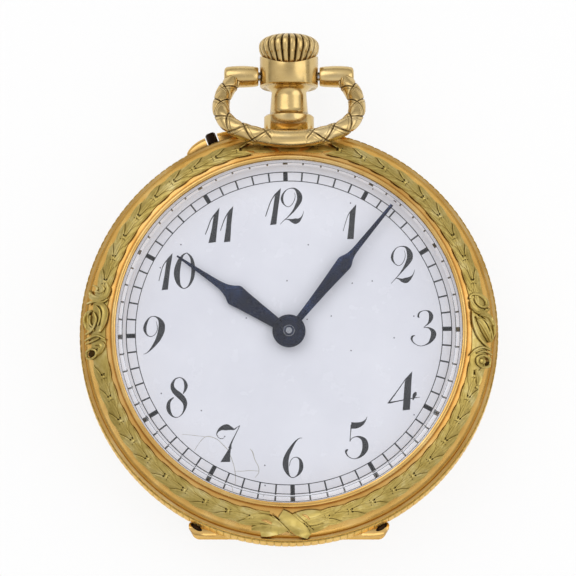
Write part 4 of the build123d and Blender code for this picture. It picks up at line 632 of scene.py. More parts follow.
def bezel_material():
    material = metal("bezel_gold", [(204, 164, 96), (218, 182, 114), (230, 202, 144)], (110, 74, 30),
                     roughness=(0.2, 0.4), patch=330, edge=(252, 230, 180))
    tree = material.node_tree
    shader = tree.nodes["Principled BSDF"]
    flat = add(tree, "ShaderNodeVectorMath", {0: object_place(tree), 1: (1, 1, 0)}, operation="MULTIPLY")
    radius = add(tree, "ShaderNodeVectorMath", {0: flat.outputs[0]}, operation="LENGTH").outputs["Value"]
    share = spread(tree, radius, 0.0, 1.0, lip_inner_r * mm, bezel_outer_r * mm)
    # Colour by radius: a lighter lip that is partly wear and partly painted highlight, a ring of painted shade
    # where the lip meets the field, and painted shade on the outer edge.
    lip_wear_highlight_and_shade_rings = ramp(tree, share, [(0.0, (255, 246, 232)), (0.14, (255, 250, 240)), (0.165, (186, 144, 92)),
                               (0.2, (240, 222, 196)), (0.3, (250, 240, 222)), (0.8, (252, 242, 220)),
                               (0.92, (255, 246, 224)), (1.0, (206, 180, 130))])
    old = shader.inputs["Base Color"].links[0].from_socket
    plug(tree, shader, {"Base Color": blend(tree, 1.0, old, lip_wear_highlight_and_shade_rings, "MULTIPLY")})
    return material


def bezel():
    edge = [field_outer, (15.52, 6.14), (15.58, 6.05), (bezel_outer_r, 5.95), (bezel_outer_r, 5.62),
            (13.5, 5.62)]
    lip = [(lip_inner_r, 6.35), (lip_inner_r, 7.25), (13.45, 7.25), (13.45, 7.55), (lip_inner_r, 7.55),
           (lip_inner_r, 7.76), (13.23, 7.82), (13.3, 7.85), (13.42, 7.85), (13.5, 7.82), (13.55, 7.74),
           field_inner]
    return lathe("bezel_turned", edge + lip + field_arc[1:-1], bezel_material(), 320, sharp=40)


settle(bezel(), "case", "rose_gold", "bezel")

# %% [markdown]
# The crystal is slightly domed on top, with a narrow bevel at about 55 degrees, polished all over. Its
# profile runs from the axis out along the top, down the bevel to the rim in the bezel's groove, and back
# along the underside.

# %% Crystal
rim_top_z = 7.52


def watch_glass():
    dome = [(0.0, glass_top_z), (6.0, 8.52), (10.0, 8.42), (12.0, 8.29), (12.64, 8.22), (12.7, 8.19)]
    bevel_and_rim = [(13.15, 7.55), (13.19, rim_top_z), (glass_r, rim_top_z), (glass_r, glass_rim_z)]
    underside = [(12.99, glass_rim_z), (12.9, glass_rim_z), (11.0, 7.34), (6.0, 7.58), (0.0, 7.7)]
    return lathe("bevelled_crystal", dome + bevel_and_rim + underside, crystal, 256, closed=False, sharp=20)


settle(watch_glass(), "case", "crystal", "crystal")

# %% [markdown]
# Relief. A chaser works leaves, ribbons and scrolls out of thin green gold with punches: each has raised
# edges and a hollow body. One helper lays such a strip along a line: at every point it puts a
# cross-section, as wide as that point says, onto a surface. The `hollow` attribute is 1 where the strip
# meets the ground.

# %% Helper for relief strips
leaf_section = both_sides([(0.0, 0.6, 0.3), (0.5, 0.75, 0.15), (0.8, 1.0, 0.0), (0.93, 0.7, 0.2),
                           (1.0, -0.4, 0.9)])
flat_section = both_sides([(0.0, 0.94, 0.0), (0.85, 1.0, 0.0), (0.95, 0.8, 0.1), (1.0, -0.5, 1.0)])
cord_section = both_sides([(0.0, 1.0, 0.0), (0.5, 0.88, 0.05), (0.85, 0.5, 0.3), (1.0, -0.25, 1.0)])
narrow = 0.12


def relief(built, hollow, line, section, height, surface):
    """Adds a strip along a line of (x, y, width, lift) points to a bmesh. Narrow strips are lower."""
    rows = []
    for i, (x, y, width, lift) in enumerate(line):
        dx, dy = heading(line, i)
        tall = height * min(1.0, width / narrow)
        rows.append([vertex_at(built, hollow, surface(x - dy * side * width / 2, y + dx * side * width / 2,
                                                      h * tall + lift), deep)
                     for side, h, deep in section])
    skin(built, rows)
    for row, step in ((rows[0], 1), (rows[-1], -1)):
        if (row[0].co - row[-1].co).length > 2e-5:
            built.faces.new(row[::step])


def dot(built, hollow, x, y, radius, height, surface, lift=0.0, rings=4, sides=10):
    """Adds a small round berry or boss."""
    rows = []
    for i in range(rings):
        a = math.pi / 2 * i / (rings - 1)
        top = height * math.sin(a) + lift
        edge = [polar(radius * math.cos(a * 0.94), t) for t in angles_round(sides)]
        rows.append([vertex_at(built, hollow, surface(x + dx, y + dy, top), 1.0 if i == 0 else 0.0)
                     for dx, dy in edge])
    skin(built, rows, ring=True)
    built.faces.new(rows[-1])


print("points across a leaf, a ribbon and a cord:", len(leaf_section), len(flat_section), len(cord_section))

# %% [markdown]
# The garland. Laurel grows from the ribbon at 6 o'clock up both sides to 12. It is a strip of green gold
# laid in the field, with chased leaves. One unit is a middle leaf, two side leaves, a berry at the tip and,
# beside it, small dark dots that paint the shade inside drilled pits. It is made once in flat lengths along
# and across the garland and wrapped onto the bezel's field, and the tree above repeats it every 7.4 degrees.
# Each leaf rises towards its tip, so it lies over the foot of the next unit. The left side uses a mirrored
# unit, and the units under the bow are lower, so that the bow can rest on them.

# %% One unit of the garland
garland_r = 14.46
unit_turn = 7.4
leaf_relief = 0.045
ground_lift, ground_edge_lift = 0.085, -0.01
fine_ground = (-0.57, -0.54, -0.36, -0.12, 0.12, 0.36, 0.54, 0.57)


def leaf_line(start, middle, end, width, low, high, count=9):
    """A pointed leaf from its foot to its tip through a middle point, rising from low to high."""
    line = []
    for i in range(count):
        t = i / (count - 1)
        x = (1 - t)**2 * start[0] + 2 * t * (1 - t) * middle[0] + t * t * end[0]
        y = (1 - t)**2 * start[1] + 2 * t * (1 - t) * middle[1] + t * t * end[1]
        w = width * max(0.02, math.sin(math.pi * min(1.0, 0.1 + 0.9 * t))) ** 0.7
        line.append((x, y, w, low + (high - low) * t))
    return line


def wrapped(side):
    """Wraps lengths along and across the garland onto the field: side 1 grows to the right's 12 o'clock."""
    def wrap(u, v, h):
        return on_field(*polar(garland_r + v, side * u / garland_r), h)
    return wrap


def garland_unit(side, rise):
    built, hollow = new_shape()
    wrap = wrapped(side)
    leaves = [((-0.6, 0.34), (0.25, 0.5), (1.15, 0.53), 0.24, 0.09, 0.12),
              ((-0.6, -0.34), (0.25, -0.5), (1.1, -0.54), 0.24, 0.09, 0.12),
              ((-1.0, 0.08), (0.1, 0.2), (1.0, 0.5), 0.36, 0.09, 0.145),
              ((-1.0, -0.08), (0.1, -0.22), (0.9, -0.5), 0.36, 0.09, 0.145),
              ((-1.65, 0.0), (-0.9, 0.03), (-0.1, 0.0), 0.3, 0.1, 0.155)]
    for start, middle, end, width, low, high in leaves:
        relief(built, hollow, leaf_line(start, middle, end, width, low * rise, high * rise), leaf_section,
               leaf_relief * rise, wrap)
    dot(built, hollow, 0.05, 0.0, 0.13, 0.11 * rise, wrap, 0.12 * rise, 4, 10)
    return finish_mesh("garland_unit", built, green_gold, 50)


# Small dark dots, standing a little above the leaves, that paint the shade inside the drilled pits.
def pit_unit(side, rise):
    built, hollow = new_shape()
    for u, v, r in ((0.24, 0.1, 0.065), (0.26, -0.09, 0.06), (-0.12, 0.15, 0.035), (-0.1, -0.17, 0.04)):
        dot(built, hollow, u, v, r, 0.03 * rise, wrapped(side), 0.155 * rise, 3, 8)
    return finish_mesh("pit_unit", built, pit_shade_metal, 50)


print("points across the garland's strip:", len(fine_ground))

# %% [markdown]
# The garland is laid on the field in halves, as it grows. A thin strip comes first and then the units, each
# run with its first place, its last place and its own seed. The dots of painted shade in the pits are a run
# of their own, because they are dark.

# %% Garland on the field
def garland_ground(name, start, stop):
    """The strip under the leaves, with a wavy edge that follows the leaves' outlines."""
    built, hollow = new_shape()
    rows = []
    steps = int(abs(stop - start) * 2)
    for i in range(steps + 1):
        degrees = start + (stop - start) * i / steps
        wave = 0.025 * math.sin(2 * math.pi * (degrees - start) / unit_turn)
        row = []
        for v in fine_ground:
            # The strip's edges are marked deep, so a dark line of grime and painted shade runs round the
            # leaves.
            lift, deep = (ground_edge_lift, 0.8) if abs(v) == fine_ground[-1] else (ground_lift, 0.15)
            place = on_field(*polar(garland_r + v * (1 + wave), math.radians(degrees)), lift)
            row.append(vertex_at(built, hollow, place, deep))
        rows.append(row)
    skin(built, rows)
    return finish_mesh(name, built, green_gold, 50)


def trim(piece):
    """Settles a piece of the garland."""
    settle(piece, "case", "green_gold", "laurel_garland")


# The pits' near-black brown is painted shade.
pit_shade_metal = metal("drilled_pit_shade", [(40, 28, 10), (62, 44, 16), (86, 62, 24)], (20, 12, 4),
                  roughness=(0.5, 0.7))
trim(garland_ground("garland_strip_right", -84, 74))
trim(garland_ground("garland_strip_left", 264, 106))
for label, side, start, stop, seed, rise in (
        ("right_low", 1, -79, -14, 3, 1.0), ("right_high", 1, 15, 74.2, 5, 1.0),
        ("right_tip", 1, 81.6, 89, 6, 0.12), ("left_low", -1, -101, -166, 7, 1.0),
        ("left_high", -1, 165, 105.8, 9, 1.0), ("left_tip", -1, 98.4, 91, 10, 0.12)):
    count = round(abs(stop - start) / unit_turn) + 1
    each = (stop - start) / (count - 1)
    for kind, unit, finish in (("", garland_unit, green_gold), ("pits_", pit_unit, pit_shade_metal)):
        trim(repeat_round("garland_" + kind + label, unit(side, rise), count, start, each, finish, 0.2, seed))

# %% [markdown]
# The ribbon. It is tied where the two halves of the garland meet at 6 o'clock. Its bands and loops are
# drawn as lines in the plan of the watch, with a width at every point, and laid on the field as strips of
# relief. A few low strips of red gold paint the shade inside the folds.

# %% Ribbon at 6 o'clock
centre_px, centre_py = 289.0, 333.0
ornament_z = 6.95


def at_pixel(px, py, z=ornament_z):
    """The plan position under a pixel of the picture, for a surface near height z."""
    x = (px - centre_px) / pixels_per_mm
    y = ((centre_py - py) / pixels_per_mm - (z - dial_z) * math.sin(tilt)) / math.cos(tilt)
    return x, y


def pixel_line(points, lift=0.02, per_span=5):
    line = []
    for px, py, width in points:
        x, y = at_pixel(px, py)
        line.append((x, y, width / pixels_per_mm, lift))
    return smooth_line(line, per_span)


def strips(name, drawn, material, height):
    """One object of relief strips and dots drawn in pixels of the picture."""
    built, hollow = new_shape()
    for kind, points, lift in drawn:
        if kind == "dot":
            for px, py, width in points:
                x, y = at_pixel(px, py)
                dot(built, hollow, x, y, width / 2 / pixels_per_mm, height, on_field, lift, 5, 16)
        else:
            section = {"leaf": leaf_section, "flat": flat_section, "cord": cord_section}[kind]
            relief(built, hollow, pixel_line(points, lift), section, height, on_field)
    return finish_mesh(name, built, material, 50)


ribbon_strips = [
    ("flat", [(261, 530, 6), (270, 528, 10), (284, 523, 12), (298, 517, 12), (310, 513.5, 10),
              (320, 511.5, 4)], 0.1),
    ("flat", [(281, 512.5, 9), (286, 516, 12), (294, 522, 13), (303, 528, 12), (309, 532, 7)], 0.15),
    ("leaf", [(246, 517, 3), (255, 516, 7), (265, 517, 9), (275, 520, 7), (282, 523, 3)], 0.13),
    ("leaf", [(252, 525, 3), (262, 524.5, 6), (272, 525, 5)], 0.12),
    ("leaf", [(305, 520, 6), (314, 519, 8), (324, 515.5, 7), (334, 511, 3)], 0.11),
    ("leaf", [(306, 527, 5), (316, 525.5, 6), (328, 521, 3)], 0.1),
    ("cord", [(272.5, 514, 0.9), (283.5, 522.5, 1.2), (292, 530, 0.9)], 0.23),
    ("cord", [(294.5, 512, 0.9), (304, 519.5, 1.2), (313.5, 527, 0.9)], 0.23),
]
trim(strips("ribbon_tied", ribbon_strips, green_gold, 0.08))
# Low strips in a red gold tone that paint the shade inside the ribbon's folds.
fold_shade = [
    ("leaf", [(262, 518, 0.8), (266.5, 518.8, 2.6), (272, 521, 1.6)], 0.19),
    ("leaf", [(302, 513.4, 0.8), (306, 514.6, 2.4), (309.5, 517.6, 1.2)], 0.19),
    ("leaf", [(276, 531.5, 0.8), (286, 530.5, 3.0), (296, 532.4, 0.8)], 0.06),
]
trim(strips("ribbon_folds", fold_shade, rose_gold, 0.03))

# %% [markdown]
# The scrolls. Small scrolls stop the garland at 3 and 9 o'clock. They are drawn like the ribbon: cords for
# the curls, leaves for the fronds, dots for the bosses, and dark dots that paint the shade in the eyes.

# %% Scrolls at 9 and 3 o'clock
left_scroll = [
    ("leaf", [(107.7, 284, 2), (110, 290.5, 4), (106.6, 297.5, 5.5), (99, 299.5, 6), (92.5, 295.5, 5),
              (91.4, 289.5, 2)], 0.1),
    ("cord", [(103.4, 286.5, 1.6), (105.5, 289.8, 2.4), (102.3, 293, 2.4), (96.9, 291.9, 1.4)], 0.15),
    ("cord", [(95, 285, 1.4), (98.5, 288, 2.2), (97.5, 292.5, 1.6)], 0.12),
    ("cord", [(88.5, 303, 1.6), (95.8, 301.7, 2.4), (103.4, 303.3, 2.4), (109, 300.4, 1.6)], 0.16),
    ("leaf", [(96, 304.4, 2), (103.4, 306, 5), (106.6, 312.5, 6), (105.5, 321.2, 6), (103.4, 328.8, 4),
              (101, 333, 2)], 0.12),
    ("cord", [(97.5, 306, 1.4), (101, 311, 2.2), (101.5, 319, 2.2), (99.5, 326, 1.4)], 0.16),
    ("leaf", [(93.5, 310.5, 2), (88.5, 313.6, 5), (87.5, 321, 6), (90.3, 327.5, 5), (95.8, 330.5, 2)], 0.12),
    ("cord", [(92.4, 315.5, 1.4), (91.2, 321.4, 2.2), (94, 326.7, 1.4)], 0.16),
    ("cord", [(95.8, 312.5, 1.6), (97.9, 319, 2.4), (96.2, 325.5, 2.4), (92, 331.6, 2.4),
              (87.8, 333.4, 1.4)], 0.17),
    ("dot", [(101, 331.5, 4.2), (96.5, 323, 2.6)], 0.15),
    ("cord", [(87.4, 339.6, 1.6), (92.5, 337.3, 2.4), (99, 336.2, 2.4), (107, 340.7, 1.6)], 0.16),
    ("cord", [(87.8, 342.8, 1.4), (94.7, 340.9, 2.2), (101.2, 338.8, 1.6)], 0.14),
    ("leaf", [(96.5, 345, 2), (102, 343.6, 5), (104.4, 347.2, 5), (101.2, 352.6, 4), (97.9, 355.5, 2)], 0.12),
    ("cord", [(97.6, 348.5, 1.2), (101, 348.5, 1.8), (99.8, 352, 1.2)], 0.16),
    ("cord", [(93.1, 348.4, 2.2), (88.6, 350.9, 2.2), (88.4, 355.6, 2.2), (93.1, 358.2, 2.2),
              (97.6, 355.6, 2.2), (97.6, 350.8, 2.2), (93.1, 348.4, 2.2)], 0.15),
]
right_scroll = [
    ("cord", [(468.6, 300, 2), (470.6, 295.8, 3), (477, 295.2, 3.6), (483.6, 298.6, 3.8),
              (485.6, 304.5, 3.6), (481, 307.4, 3), (475.6, 304, 2.4), (473.4, 299.4, 1.6)], 0.13),
    ("leaf", [(469.5, 302, 2), (471.5, 308, 5), (477, 312.5, 5), (484, 311.5, 3), (487, 307.5, 2)], 0.12),
    ("dot", [(485.2, 309.7, 3.2)], 0.14),
    ("leaf", [(475, 313.5, 2), (482.5, 314.5, 7), (489.5, 321.5, 8), (491, 331, 7), (488.5, 340.5, 3)], 0.12),
    ("leaf", [(474.5, 317, 2), (480, 324, 7), (484.5, 333, 7), (487.8, 341.5, 3)], 0.13),
    ("cord", [(477.5, 316, 1.2), (486.5, 317.2, 1.8), (491.5, 325.6, 1.8), (491.8, 335.2, 1.2)], 0.18),
    ("cord", [(476.7, 318.6, 1.2), (483.7, 321.2, 1.8), (488.2, 328.8, 1.8), (490.4, 338.4, 1.2)], 0.19),
    ("cord", [(475.4, 321.2, 1.2), (479.9, 326.3, 1.8), (484.4, 333.9, 1.8), (488.4, 340.9, 1.2)], 0.19),
    ("cord", [(471, 312.2, 1.6), (472.2, 325, 2.6), (477.3, 337.8, 2.8), (487.6, 348.6, 1.6)], 0.17),
    ("cord", [(468.4, 356.3, 1.4), (474.2, 350.4, 2.6), (481.2, 347.4, 2.6), (488.4, 349.4, 1.4)], 0.17),
    ("cord", [(475.4, 353.6, 1.4), (482.4, 351, 2), (489.5, 353.4, 1.4)], 0.15),
    ("cord", [(482, 354.8, 2.8), (476.2, 357.8, 2.8), (476, 363.8, 2.8), (482, 366.8, 2.8),
              (487.8, 363.6, 2.8), (487.6, 357.6, 2.8), (482, 354.8, 2.8)], 0.14),
    ("dot", [(481.3, 360.7, 6.5)], 0.1),
    ("leaf", [(474, 370, 3), (477, 377, 6), (476, 384, 3)], 0.12),
    ("dot", [(475.5, 386.5, 3.6)], 0.14),
]
trim(strips("scroll_at_nine", left_scroll, green_gold, 0.13))
trim(strips("scroll_at_three", right_scroll, green_gold, 0.13))
# Dark dots that paint the shade in the eyes of the scrolls.
eye_shade = [("dot", [(486.3, 362.6, 4.4), (93.1, 353.3, 6.4)], 0.14)]
trim(strips("scroll_eyes", eye_shade, pit_shade_metal, 0.06))

# %% [markdown]
# The dial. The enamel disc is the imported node. The printing on it is a very thin layer of fired black.
# First come two circles with sixty minute marks between them and a broader mark at each hour. A mark is one
# bar, repeated by the tree above.

# %% Minute track
dial_turn = 1.3
print_z = dial_z + 0.006
print_depth = 0.005
track_inner, track_outer = 11.65, 12.33


def flat_bar(name, r0, r1, width, material):
    built = bmesh.new()
    corners = [(r0, -width / 2), (r1, -width / 2), (r1, width / 2), (r0, width / 2)]
    low, high = [[corner(built, None, x, y, z) for x, y in corners] for z in (print_z - print_depth, print_z)]
    built.faces.new(high)
    skin(built, [low, high], ring=True)
    return finish_mesh(name, built, material)


def thin_circle(name, radius, width):
    low, inner, outer = print_z - print_depth, radius - width / 2, radius + width / 2
    return lathe(name, [(inner, low), (inner, print_z), (outer, print_z), (outer, low)], ink)


for label, radius, width in (("outer", track_outer, 0.065), ("inner", track_inner, 0.06)):
    settle(thin_circle("track_circle_" + label, radius, width), "case", "enamel")
for name, longer, width, count in (("minute_marks", 0.0, 0.12, 60), ("hour_marks", 0.02, 0.34, 12)):
    mark = flat_bar("mark", track_inner - longer, track_outer + longer, width, ink)
    settle(repeat_round(name, mark, count, dial_turn, 360 / count, ink), "case", "enamel")

# %% [markdown]
# The numerals are upright script with strong and hair lines. A numeral is a few pen strokes: a line of
# points that each say how wide the pen was. This gives the swelling lines of the real figures, which a
# typeface would not. Broad wedges are filled outlines.

# %% The pen
quarters = {"upper_left": (140.0, 170.0), "upper_right": (280.0, 170.0), "lower_left": (140.0, 330.0),
            "lower_right": (280.0, 330.0)}
quarter_scale = 9.8


def on_dial(quarter, u, v):
    """Plan position of a point that was measured on an enlargement of a quarter of the dial."""
    px = quarters[quarter][0] + u / quarter_scale
    py = quarters[quarter][1] + v / quarter_scale
    return at_pixel(px, py, dial_z)


def pen_stroke(built, quarter, points, z):
    line = smooth_line(points, 7)
    rows = []
    for i, (u, v, w) in enumerate(line):
        du, dv = heading(line, i)
        rows.append([corner(built, None, *on_dial(quarter, u - side * dv * w / 2, v + side * du * w / 2), z)
                     for side in (1, -1)])
    skin(built, rows)


def printed(name, built, material):
    """An object of flat printing whose faces all look up."""
    for face in built.faces:
        face.normal_update()
        if face.normal.z < 0:
            face.normal_flip()
    return shaded(name, mesh_of(name, built), material)


def pen_shape(built, quarter, points, z):
    built.faces.new([corner(built, None, *on_dial(quarter, u, v), z) for u, v in points])


print("quarters of the dial:", ", ".join(quarters))

# %% [markdown]
# Each figure has the quarter of the dial that it was measured in, its pen strokes and its filled outlines.
# A stroke's point says how far right and down it is in that quarter and how wide the pen is there.

# %% Figures one to six
figures = {
    "one": ("upper_right",
        [[(692, 412, 9), (668, 450, 7), (645, 515, 6), (620, 604, 5)]],
        [[(745, 345), (690, 410), (684, 430), (676, 540), (659, 684), (722, 684), (732, 520), (746, 352)]]),
    "two": ("upper_right",
        [[(1215, 796, 3), (1226, 840, 5), (1217, 890, 6), (1192, 930, 6), (1160, 945, 6), (1125, 925, 10),
          (1101, 885, 22), (1099, 850, 24), (1112, 810, 14), (1145, 770, 7), (1195, 757, 8),
          (1238, 772, 24), (1266, 820, 52), (1270, 870, 56), (1248, 920, 42), (1212, 975, 22),
          (1165, 1035, 9), (1125, 1080, 6), (1088, 1120, 4)],
         [(1130, 1066, 4), (1165, 1074, 14), (1195, 1088, 34), (1230, 1090, 54), (1262, 1075, 38),
          (1290, 1050, 16), (1308, 1020, 7), (1318, 985, 3)]],
        []),
    "three": ("upper_right",
        [[(1362, 1455, 8), (1352, 1440, 18), (1362, 1408, 14), (1390, 1390, 7), (1430, 1385, 8),
          (1462, 1402, 26), (1476, 1440, 42), (1466, 1485, 30), (1440, 1520, 12), (1405, 1548, 5)],
         [(1405, 1552, 4), (1450, 1553, 12), (1486, 1578, 36), (1500, 1612, 52), (1488, 1655, 44),
          (1455, 1700, 20), (1410, 1724, 8), (1365, 1730, 6), (1325, 1713, 7), (1295, 1685, 12),
          (1287, 1655, 20), (1300, 1634, 16), (1322, 1630, 4)]],
        []),
    "four": ("lower_right",
        [[(1232, 478, 8), (1150, 595, 9), (1060, 716, 14)],
         [(1050, 720, 6), (1080, 714, 15), (1130, 704, 11), (1200, 690, 10), (1290, 672, 9), (1364, 660, 4)],
         [(1296, 690, 8), (1304, 660, 26), (1316, 632, 34), (1328, 612, 14)]],
        [[(1292, 410), (1230, 476), (1218, 520), (1208, 640), (1196, 790), (1266, 782), (1276, 640),
          (1284, 500)]]),
    "five": ("lower_right",
        [[(696, 930, 14), (690, 1000, 8), (682, 1092, 7)],
         [(682, 1094, 4), (700, 1064, 7), (740, 1047, 9), (785, 1052, 24), (822, 1085, 50),
          (833, 1140, 60), (818, 1190, 48), (785, 1232, 24), (740, 1256, 8), (700, 1255, 7),
          (665, 1235, 9), (645, 1205, 15), (646, 1182, 22), (664, 1170, 8)],
         [(850, 852, 3), (835, 885, 12), (800, 918, 36), (750, 936, 58), (696, 937, 62)]],
        []),
    "six": ("lower_right",
        [[(217, 1060, 4), (190, 1062, 6), (150, 1095, 16), (112, 1150, 30), (78, 1210, 42), (58, 1270, 54),
          (56, 1330, 56), (70, 1385, 36), (95, 1426, 13), (125, 1440, 7), (160, 1426, 11), (188, 1395, 27),
          (206, 1350, 40), (205, 1300, 36), (190, 1262, 17), (158, 1245, 7), (125, 1256, 6),
          (102, 1285, 6), (92, 1330, 4)]],
        []),
}
print("figures:", ", ".join(figures))

# %% [markdown]
# The figures of the left half. A ten, an eleven and a twelve hold two figures each, drawn in one go.

# %% Figures seven to twelve
figures |= {
    "seven": ("lower_left",
        [[(830, 1054, 4), (805, 1066, 6), (775, 1056, 6), (756, 1025, 8), (766, 995, 16), (800, 966, 38),
          (850, 955, 60), (892, 964, 36), (925, 974, 14), (950, 957, 7), (982, 938, 6)],
         [(978, 944, 6), (945, 1010, 8), (915, 1070, 11), (893, 1120, 16), (884, 1160, 34)]],
        [[(900, 1110), (876, 1160), (845, 1208), (793, 1290), (888, 1288), (888, 1215), (896, 1150)]]),
    "eight": ("lower_left",
        [[(395, 469, 7), (352, 484, 12), (325, 525, 27), (323, 565, 38), (345, 605, 50), (385, 640, 58),
          (425, 680, 56), (446, 725, 42), (440, 780, 22), (412, 832, 9), (370, 857, 7), (325, 845, 14),
          (294, 800, 34), (284, 750, 38), (296, 700, 26), (335, 664, 10)],
         [(425, 630, 7), (446, 590, 24), (454, 548, 34), (441, 505, 22), (418, 480, 11), (395, 469, 7)]],
        []),
    "nine": ("upper_left",
        [[(162, 1490, 3), (173, 1540, 6), (168, 1590, 6), (138, 1629, 6), (98, 1637, 8), (66, 1610, 16),
          (53, 1560, 31), (68, 1500, 23), (103, 1452, 9), (147, 1442, 8), (190, 1468, 28), (214, 1516, 58),
          (212, 1580, 64), (186, 1654, 50), (148, 1716, 32), (106, 1768, 15), (70, 1800, 7), (42, 1810, 4)]],
        []),
    "ten": ("upper_left",
        [[(264, 892, 9), (228, 950, 8), (206, 1020, 8), (188, 1096, 6)],
         [(460, 820, 7), (420, 845, 18), (385, 910, 44), (364, 1000, 60), (368, 1080, 50), (391, 1140, 24),
          (430, 1168, 8), (475, 1145, 14), (509, 1080, 30), (522, 1000, 38), (518, 930, 36),
          (500, 862, 22), (460, 820, 7)]],
        [[(320, 824), (270, 878), (262, 905), (242, 1040), (215, 1186), (275, 1179), (294, 1000),
          (318, 850)]]),
    "eleven": ("upper_left",
        [[(732, 440, 10), (694, 500, 9), (664, 580, 9), (640, 640, 8)],
         [(864, 424, 10), (828, 490, 9), (806, 550, 8), (788, 602, 6)]],
        [[(778, 378), (732, 436), (722, 465), (702, 590), (671, 724), (743, 714), (758, 560), (776, 405)],
         [(913, 362), (866, 414), (856, 445), (842, 580), (822, 715), (884, 708), (894, 540), (911, 385)]]),
    "twelve": ("upper_left",
        [[(1328, 240, 10), (1284, 310, 9), (1254, 390, 9), (1230, 462, 8)],
         [(1512, 232, 3), (1521, 262, 5), (1509, 312, 6), (1482, 353, 6), (1452, 368, 6), (1417, 350, 10),
          (1396, 315, 22), (1392, 280, 24), (1406, 238, 14), (1442, 200, 7), (1487, 187, 8),
          (1528, 200, 22), (1560, 250, 48), (1563, 298, 50), (1540, 350, 38), (1502, 410, 20),
          (1452, 465, 9), (1412, 500, 6), (1372, 540, 4)],
         [(1420, 492, 4), (1457, 492, 12), (1487, 502, 32), (1522, 508, 54), (1552, 500, 40),
          (1577, 478, 16), (1594, 448, 7), (1605, 410, 3)]],
        [[(1381, 186), (1330, 234), (1322, 262), (1302, 400), (1276, 546), (1336, 539), (1354, 380),
          (1379, 205)]]),
}


print("figures:", ", ".join(figures))

# %% [markdown]
# The figures are printed one by one. Where strokes cross, each lies a hair above the last, so that no two
# faces share a place.

# %% Numerals
ink_layer, most_strokes = 0.0012, 4


def numeral(name):
    quarter, strokes, shapes = figures[name]
    built = bmesh.new()
    for k, points in enumerate(strokes):
        pen_stroke(built, quarter, points, print_z + ink_layer * k)
    for k, points in enumerate(shapes):
        pen_shape(built, quarter, points, print_z + ink_layer * (k + most_strokes))
    bmesh.ops.triangulate(built, faces=[f for f in built.faces if len(f.verts) > 4])
    return printed("numeral_" + name, built, ink)


for name in figures:
    settle(numeral(name), "case", "enamel")

# %% [markdown]
# Cracks. The enamel is cracked near 7 o'clock, as old dials are. The cracks are hairlines that have taken
# up a little dirt, drawn with the same pen.

# %% Hairline cracks
def cracks():
    built = bmesh.new()
    for points in ([(540, 1178, 4), (590, 1100, 5), (640, 1050, 6), (690, 1045, 8), (760, 1072, 6),
                    (820, 1128, 7), (862, 1172, 8), (890, 1230, 6), (925, 1330, 6), (940, 1420, 6),
                    (938, 1500, 4)],
                   [(930, 1376, 4), (1000, 1378, 5), (1080, 1372, 5), (1165, 1378, 4)],
                   [(1080, 1165, 5), (1105, 1195, 9), (1128, 1270, 7), (1160, 1330, 6), (1166, 1390, 6),
                    (1130, 1440, 4)],
                   [(420, 1020, 3), (520, 1030, 4), (640, 1046, 5)]):
        pen_stroke(built, "lower_left", points, print_z - 0.004)
    return printed("hairline_cracks", built, crack_ink)


settle(cracks(), "case", "enamel")

# %% [markdown]
# The hands. They are blued steel, filed so that each half slopes away from a ridge along the middle, which
# is why one half looks lighter. The outline is a smooth line through the widths at a few distances from the
# centre.

# %% Hands
def hand(name, stations, clockwise, low, high, edge):
    built = bmesh.new()
    along = Vector(polar(1.0, math.radians(90 - clockwise)))
    across = Vector((-along.y, along.x))
    section = both_sides([(0, high), (0.86, high - edge * 0.55), (1, high - edge), (1, low)])
    rows = []
    for reach, width in smooth_line(stations, 6):
        points = [(along * reach + across * side * width / 2, z) for side, z in section]
        rows.append([corner(built, None, p.x, p.y, z) for p, z in points])
    skin(built, rows, ring=True)
    for row in (rows[0], rows[-1]):
        built.faces.new(row)
    return finish_mesh(name, built, blued_steel, 25)


minute_line = [(1.0, 0.5), (2.6, 0.62), (4.6, 0.86), (6.35, 1.14), (6.72, 1.18), (7.0, 1.02), (7.35, 0.7),
               (7.9, 0.48), (9.2, 0.38), (12.47, 0.24)]
hour_line = [(0.95, 0.8), (2.4, 1.08), (4.0, 1.42), (4.85, 1.64), (5.12, 1.58), (5.5, 1.1), (5.95, 0.74),
             (6.6, 0.52), (8.2, 0.33), (10.32, 0.14)]
for name, line, clockwise, low, high, edge in (("minute_hand", minute_line, 38.9, 7.02, 7.14, 0.055),
                                               ("hour_hand", hour_line, 304.3, 6.66, 6.78, 0.06)):
    settle(hand(name + "_blade", line, clockwise, low, high, edge), name, "blued_steel", name)

boss_low, boss_high = span("minute_hand", "z")
hour_low, hour_high = span("hour_hand", "z")
hour_r = span("hour_hand", "x")[1]
boss_profile = [(0.43, boss_low), (1.2, boss_low), (1.26, 6.98), (1.26, 7.15), (1.23, 7.18), (1.17, 7.18),
                (1.14, 7.2), (1.13, 7.27), (1.1, boss_high), (1.03, boss_high), (1.0, 7.27), (0.86, 7.26),
                (0.83, 7.29), (0.78, 7.29), (0.75, 7.26), (0.58, 7.25), (0.55, 7.28), (0.5, 7.28),
                (0.47, 7.26), (0.43, 7.26)]
cannon_top = span("cannon_pinion", "z")[1] + 0.004
tip_profile = [(r, cannon_top + h) for r, h in ((0.0, 0.03), (0.08, 0.028), (0.25, 0.018), (0.38, 0.0),
                                                (0.42, -0.03))] + [(0.42, 7.2), (0.0, 7.2)]
centre_profile = [(r, cannon_top + h) for r, h in ((0.0, 0.05), (0.05, 0.045), (0.09, 0.02), (0.0, 0.0))]
hour_boss = [(0.62, hour_low), (1.06, hour_low), (hour_r, 6.6), (hour_r, 6.8), (1.06, hour_high),
             (0.62, hour_high)]
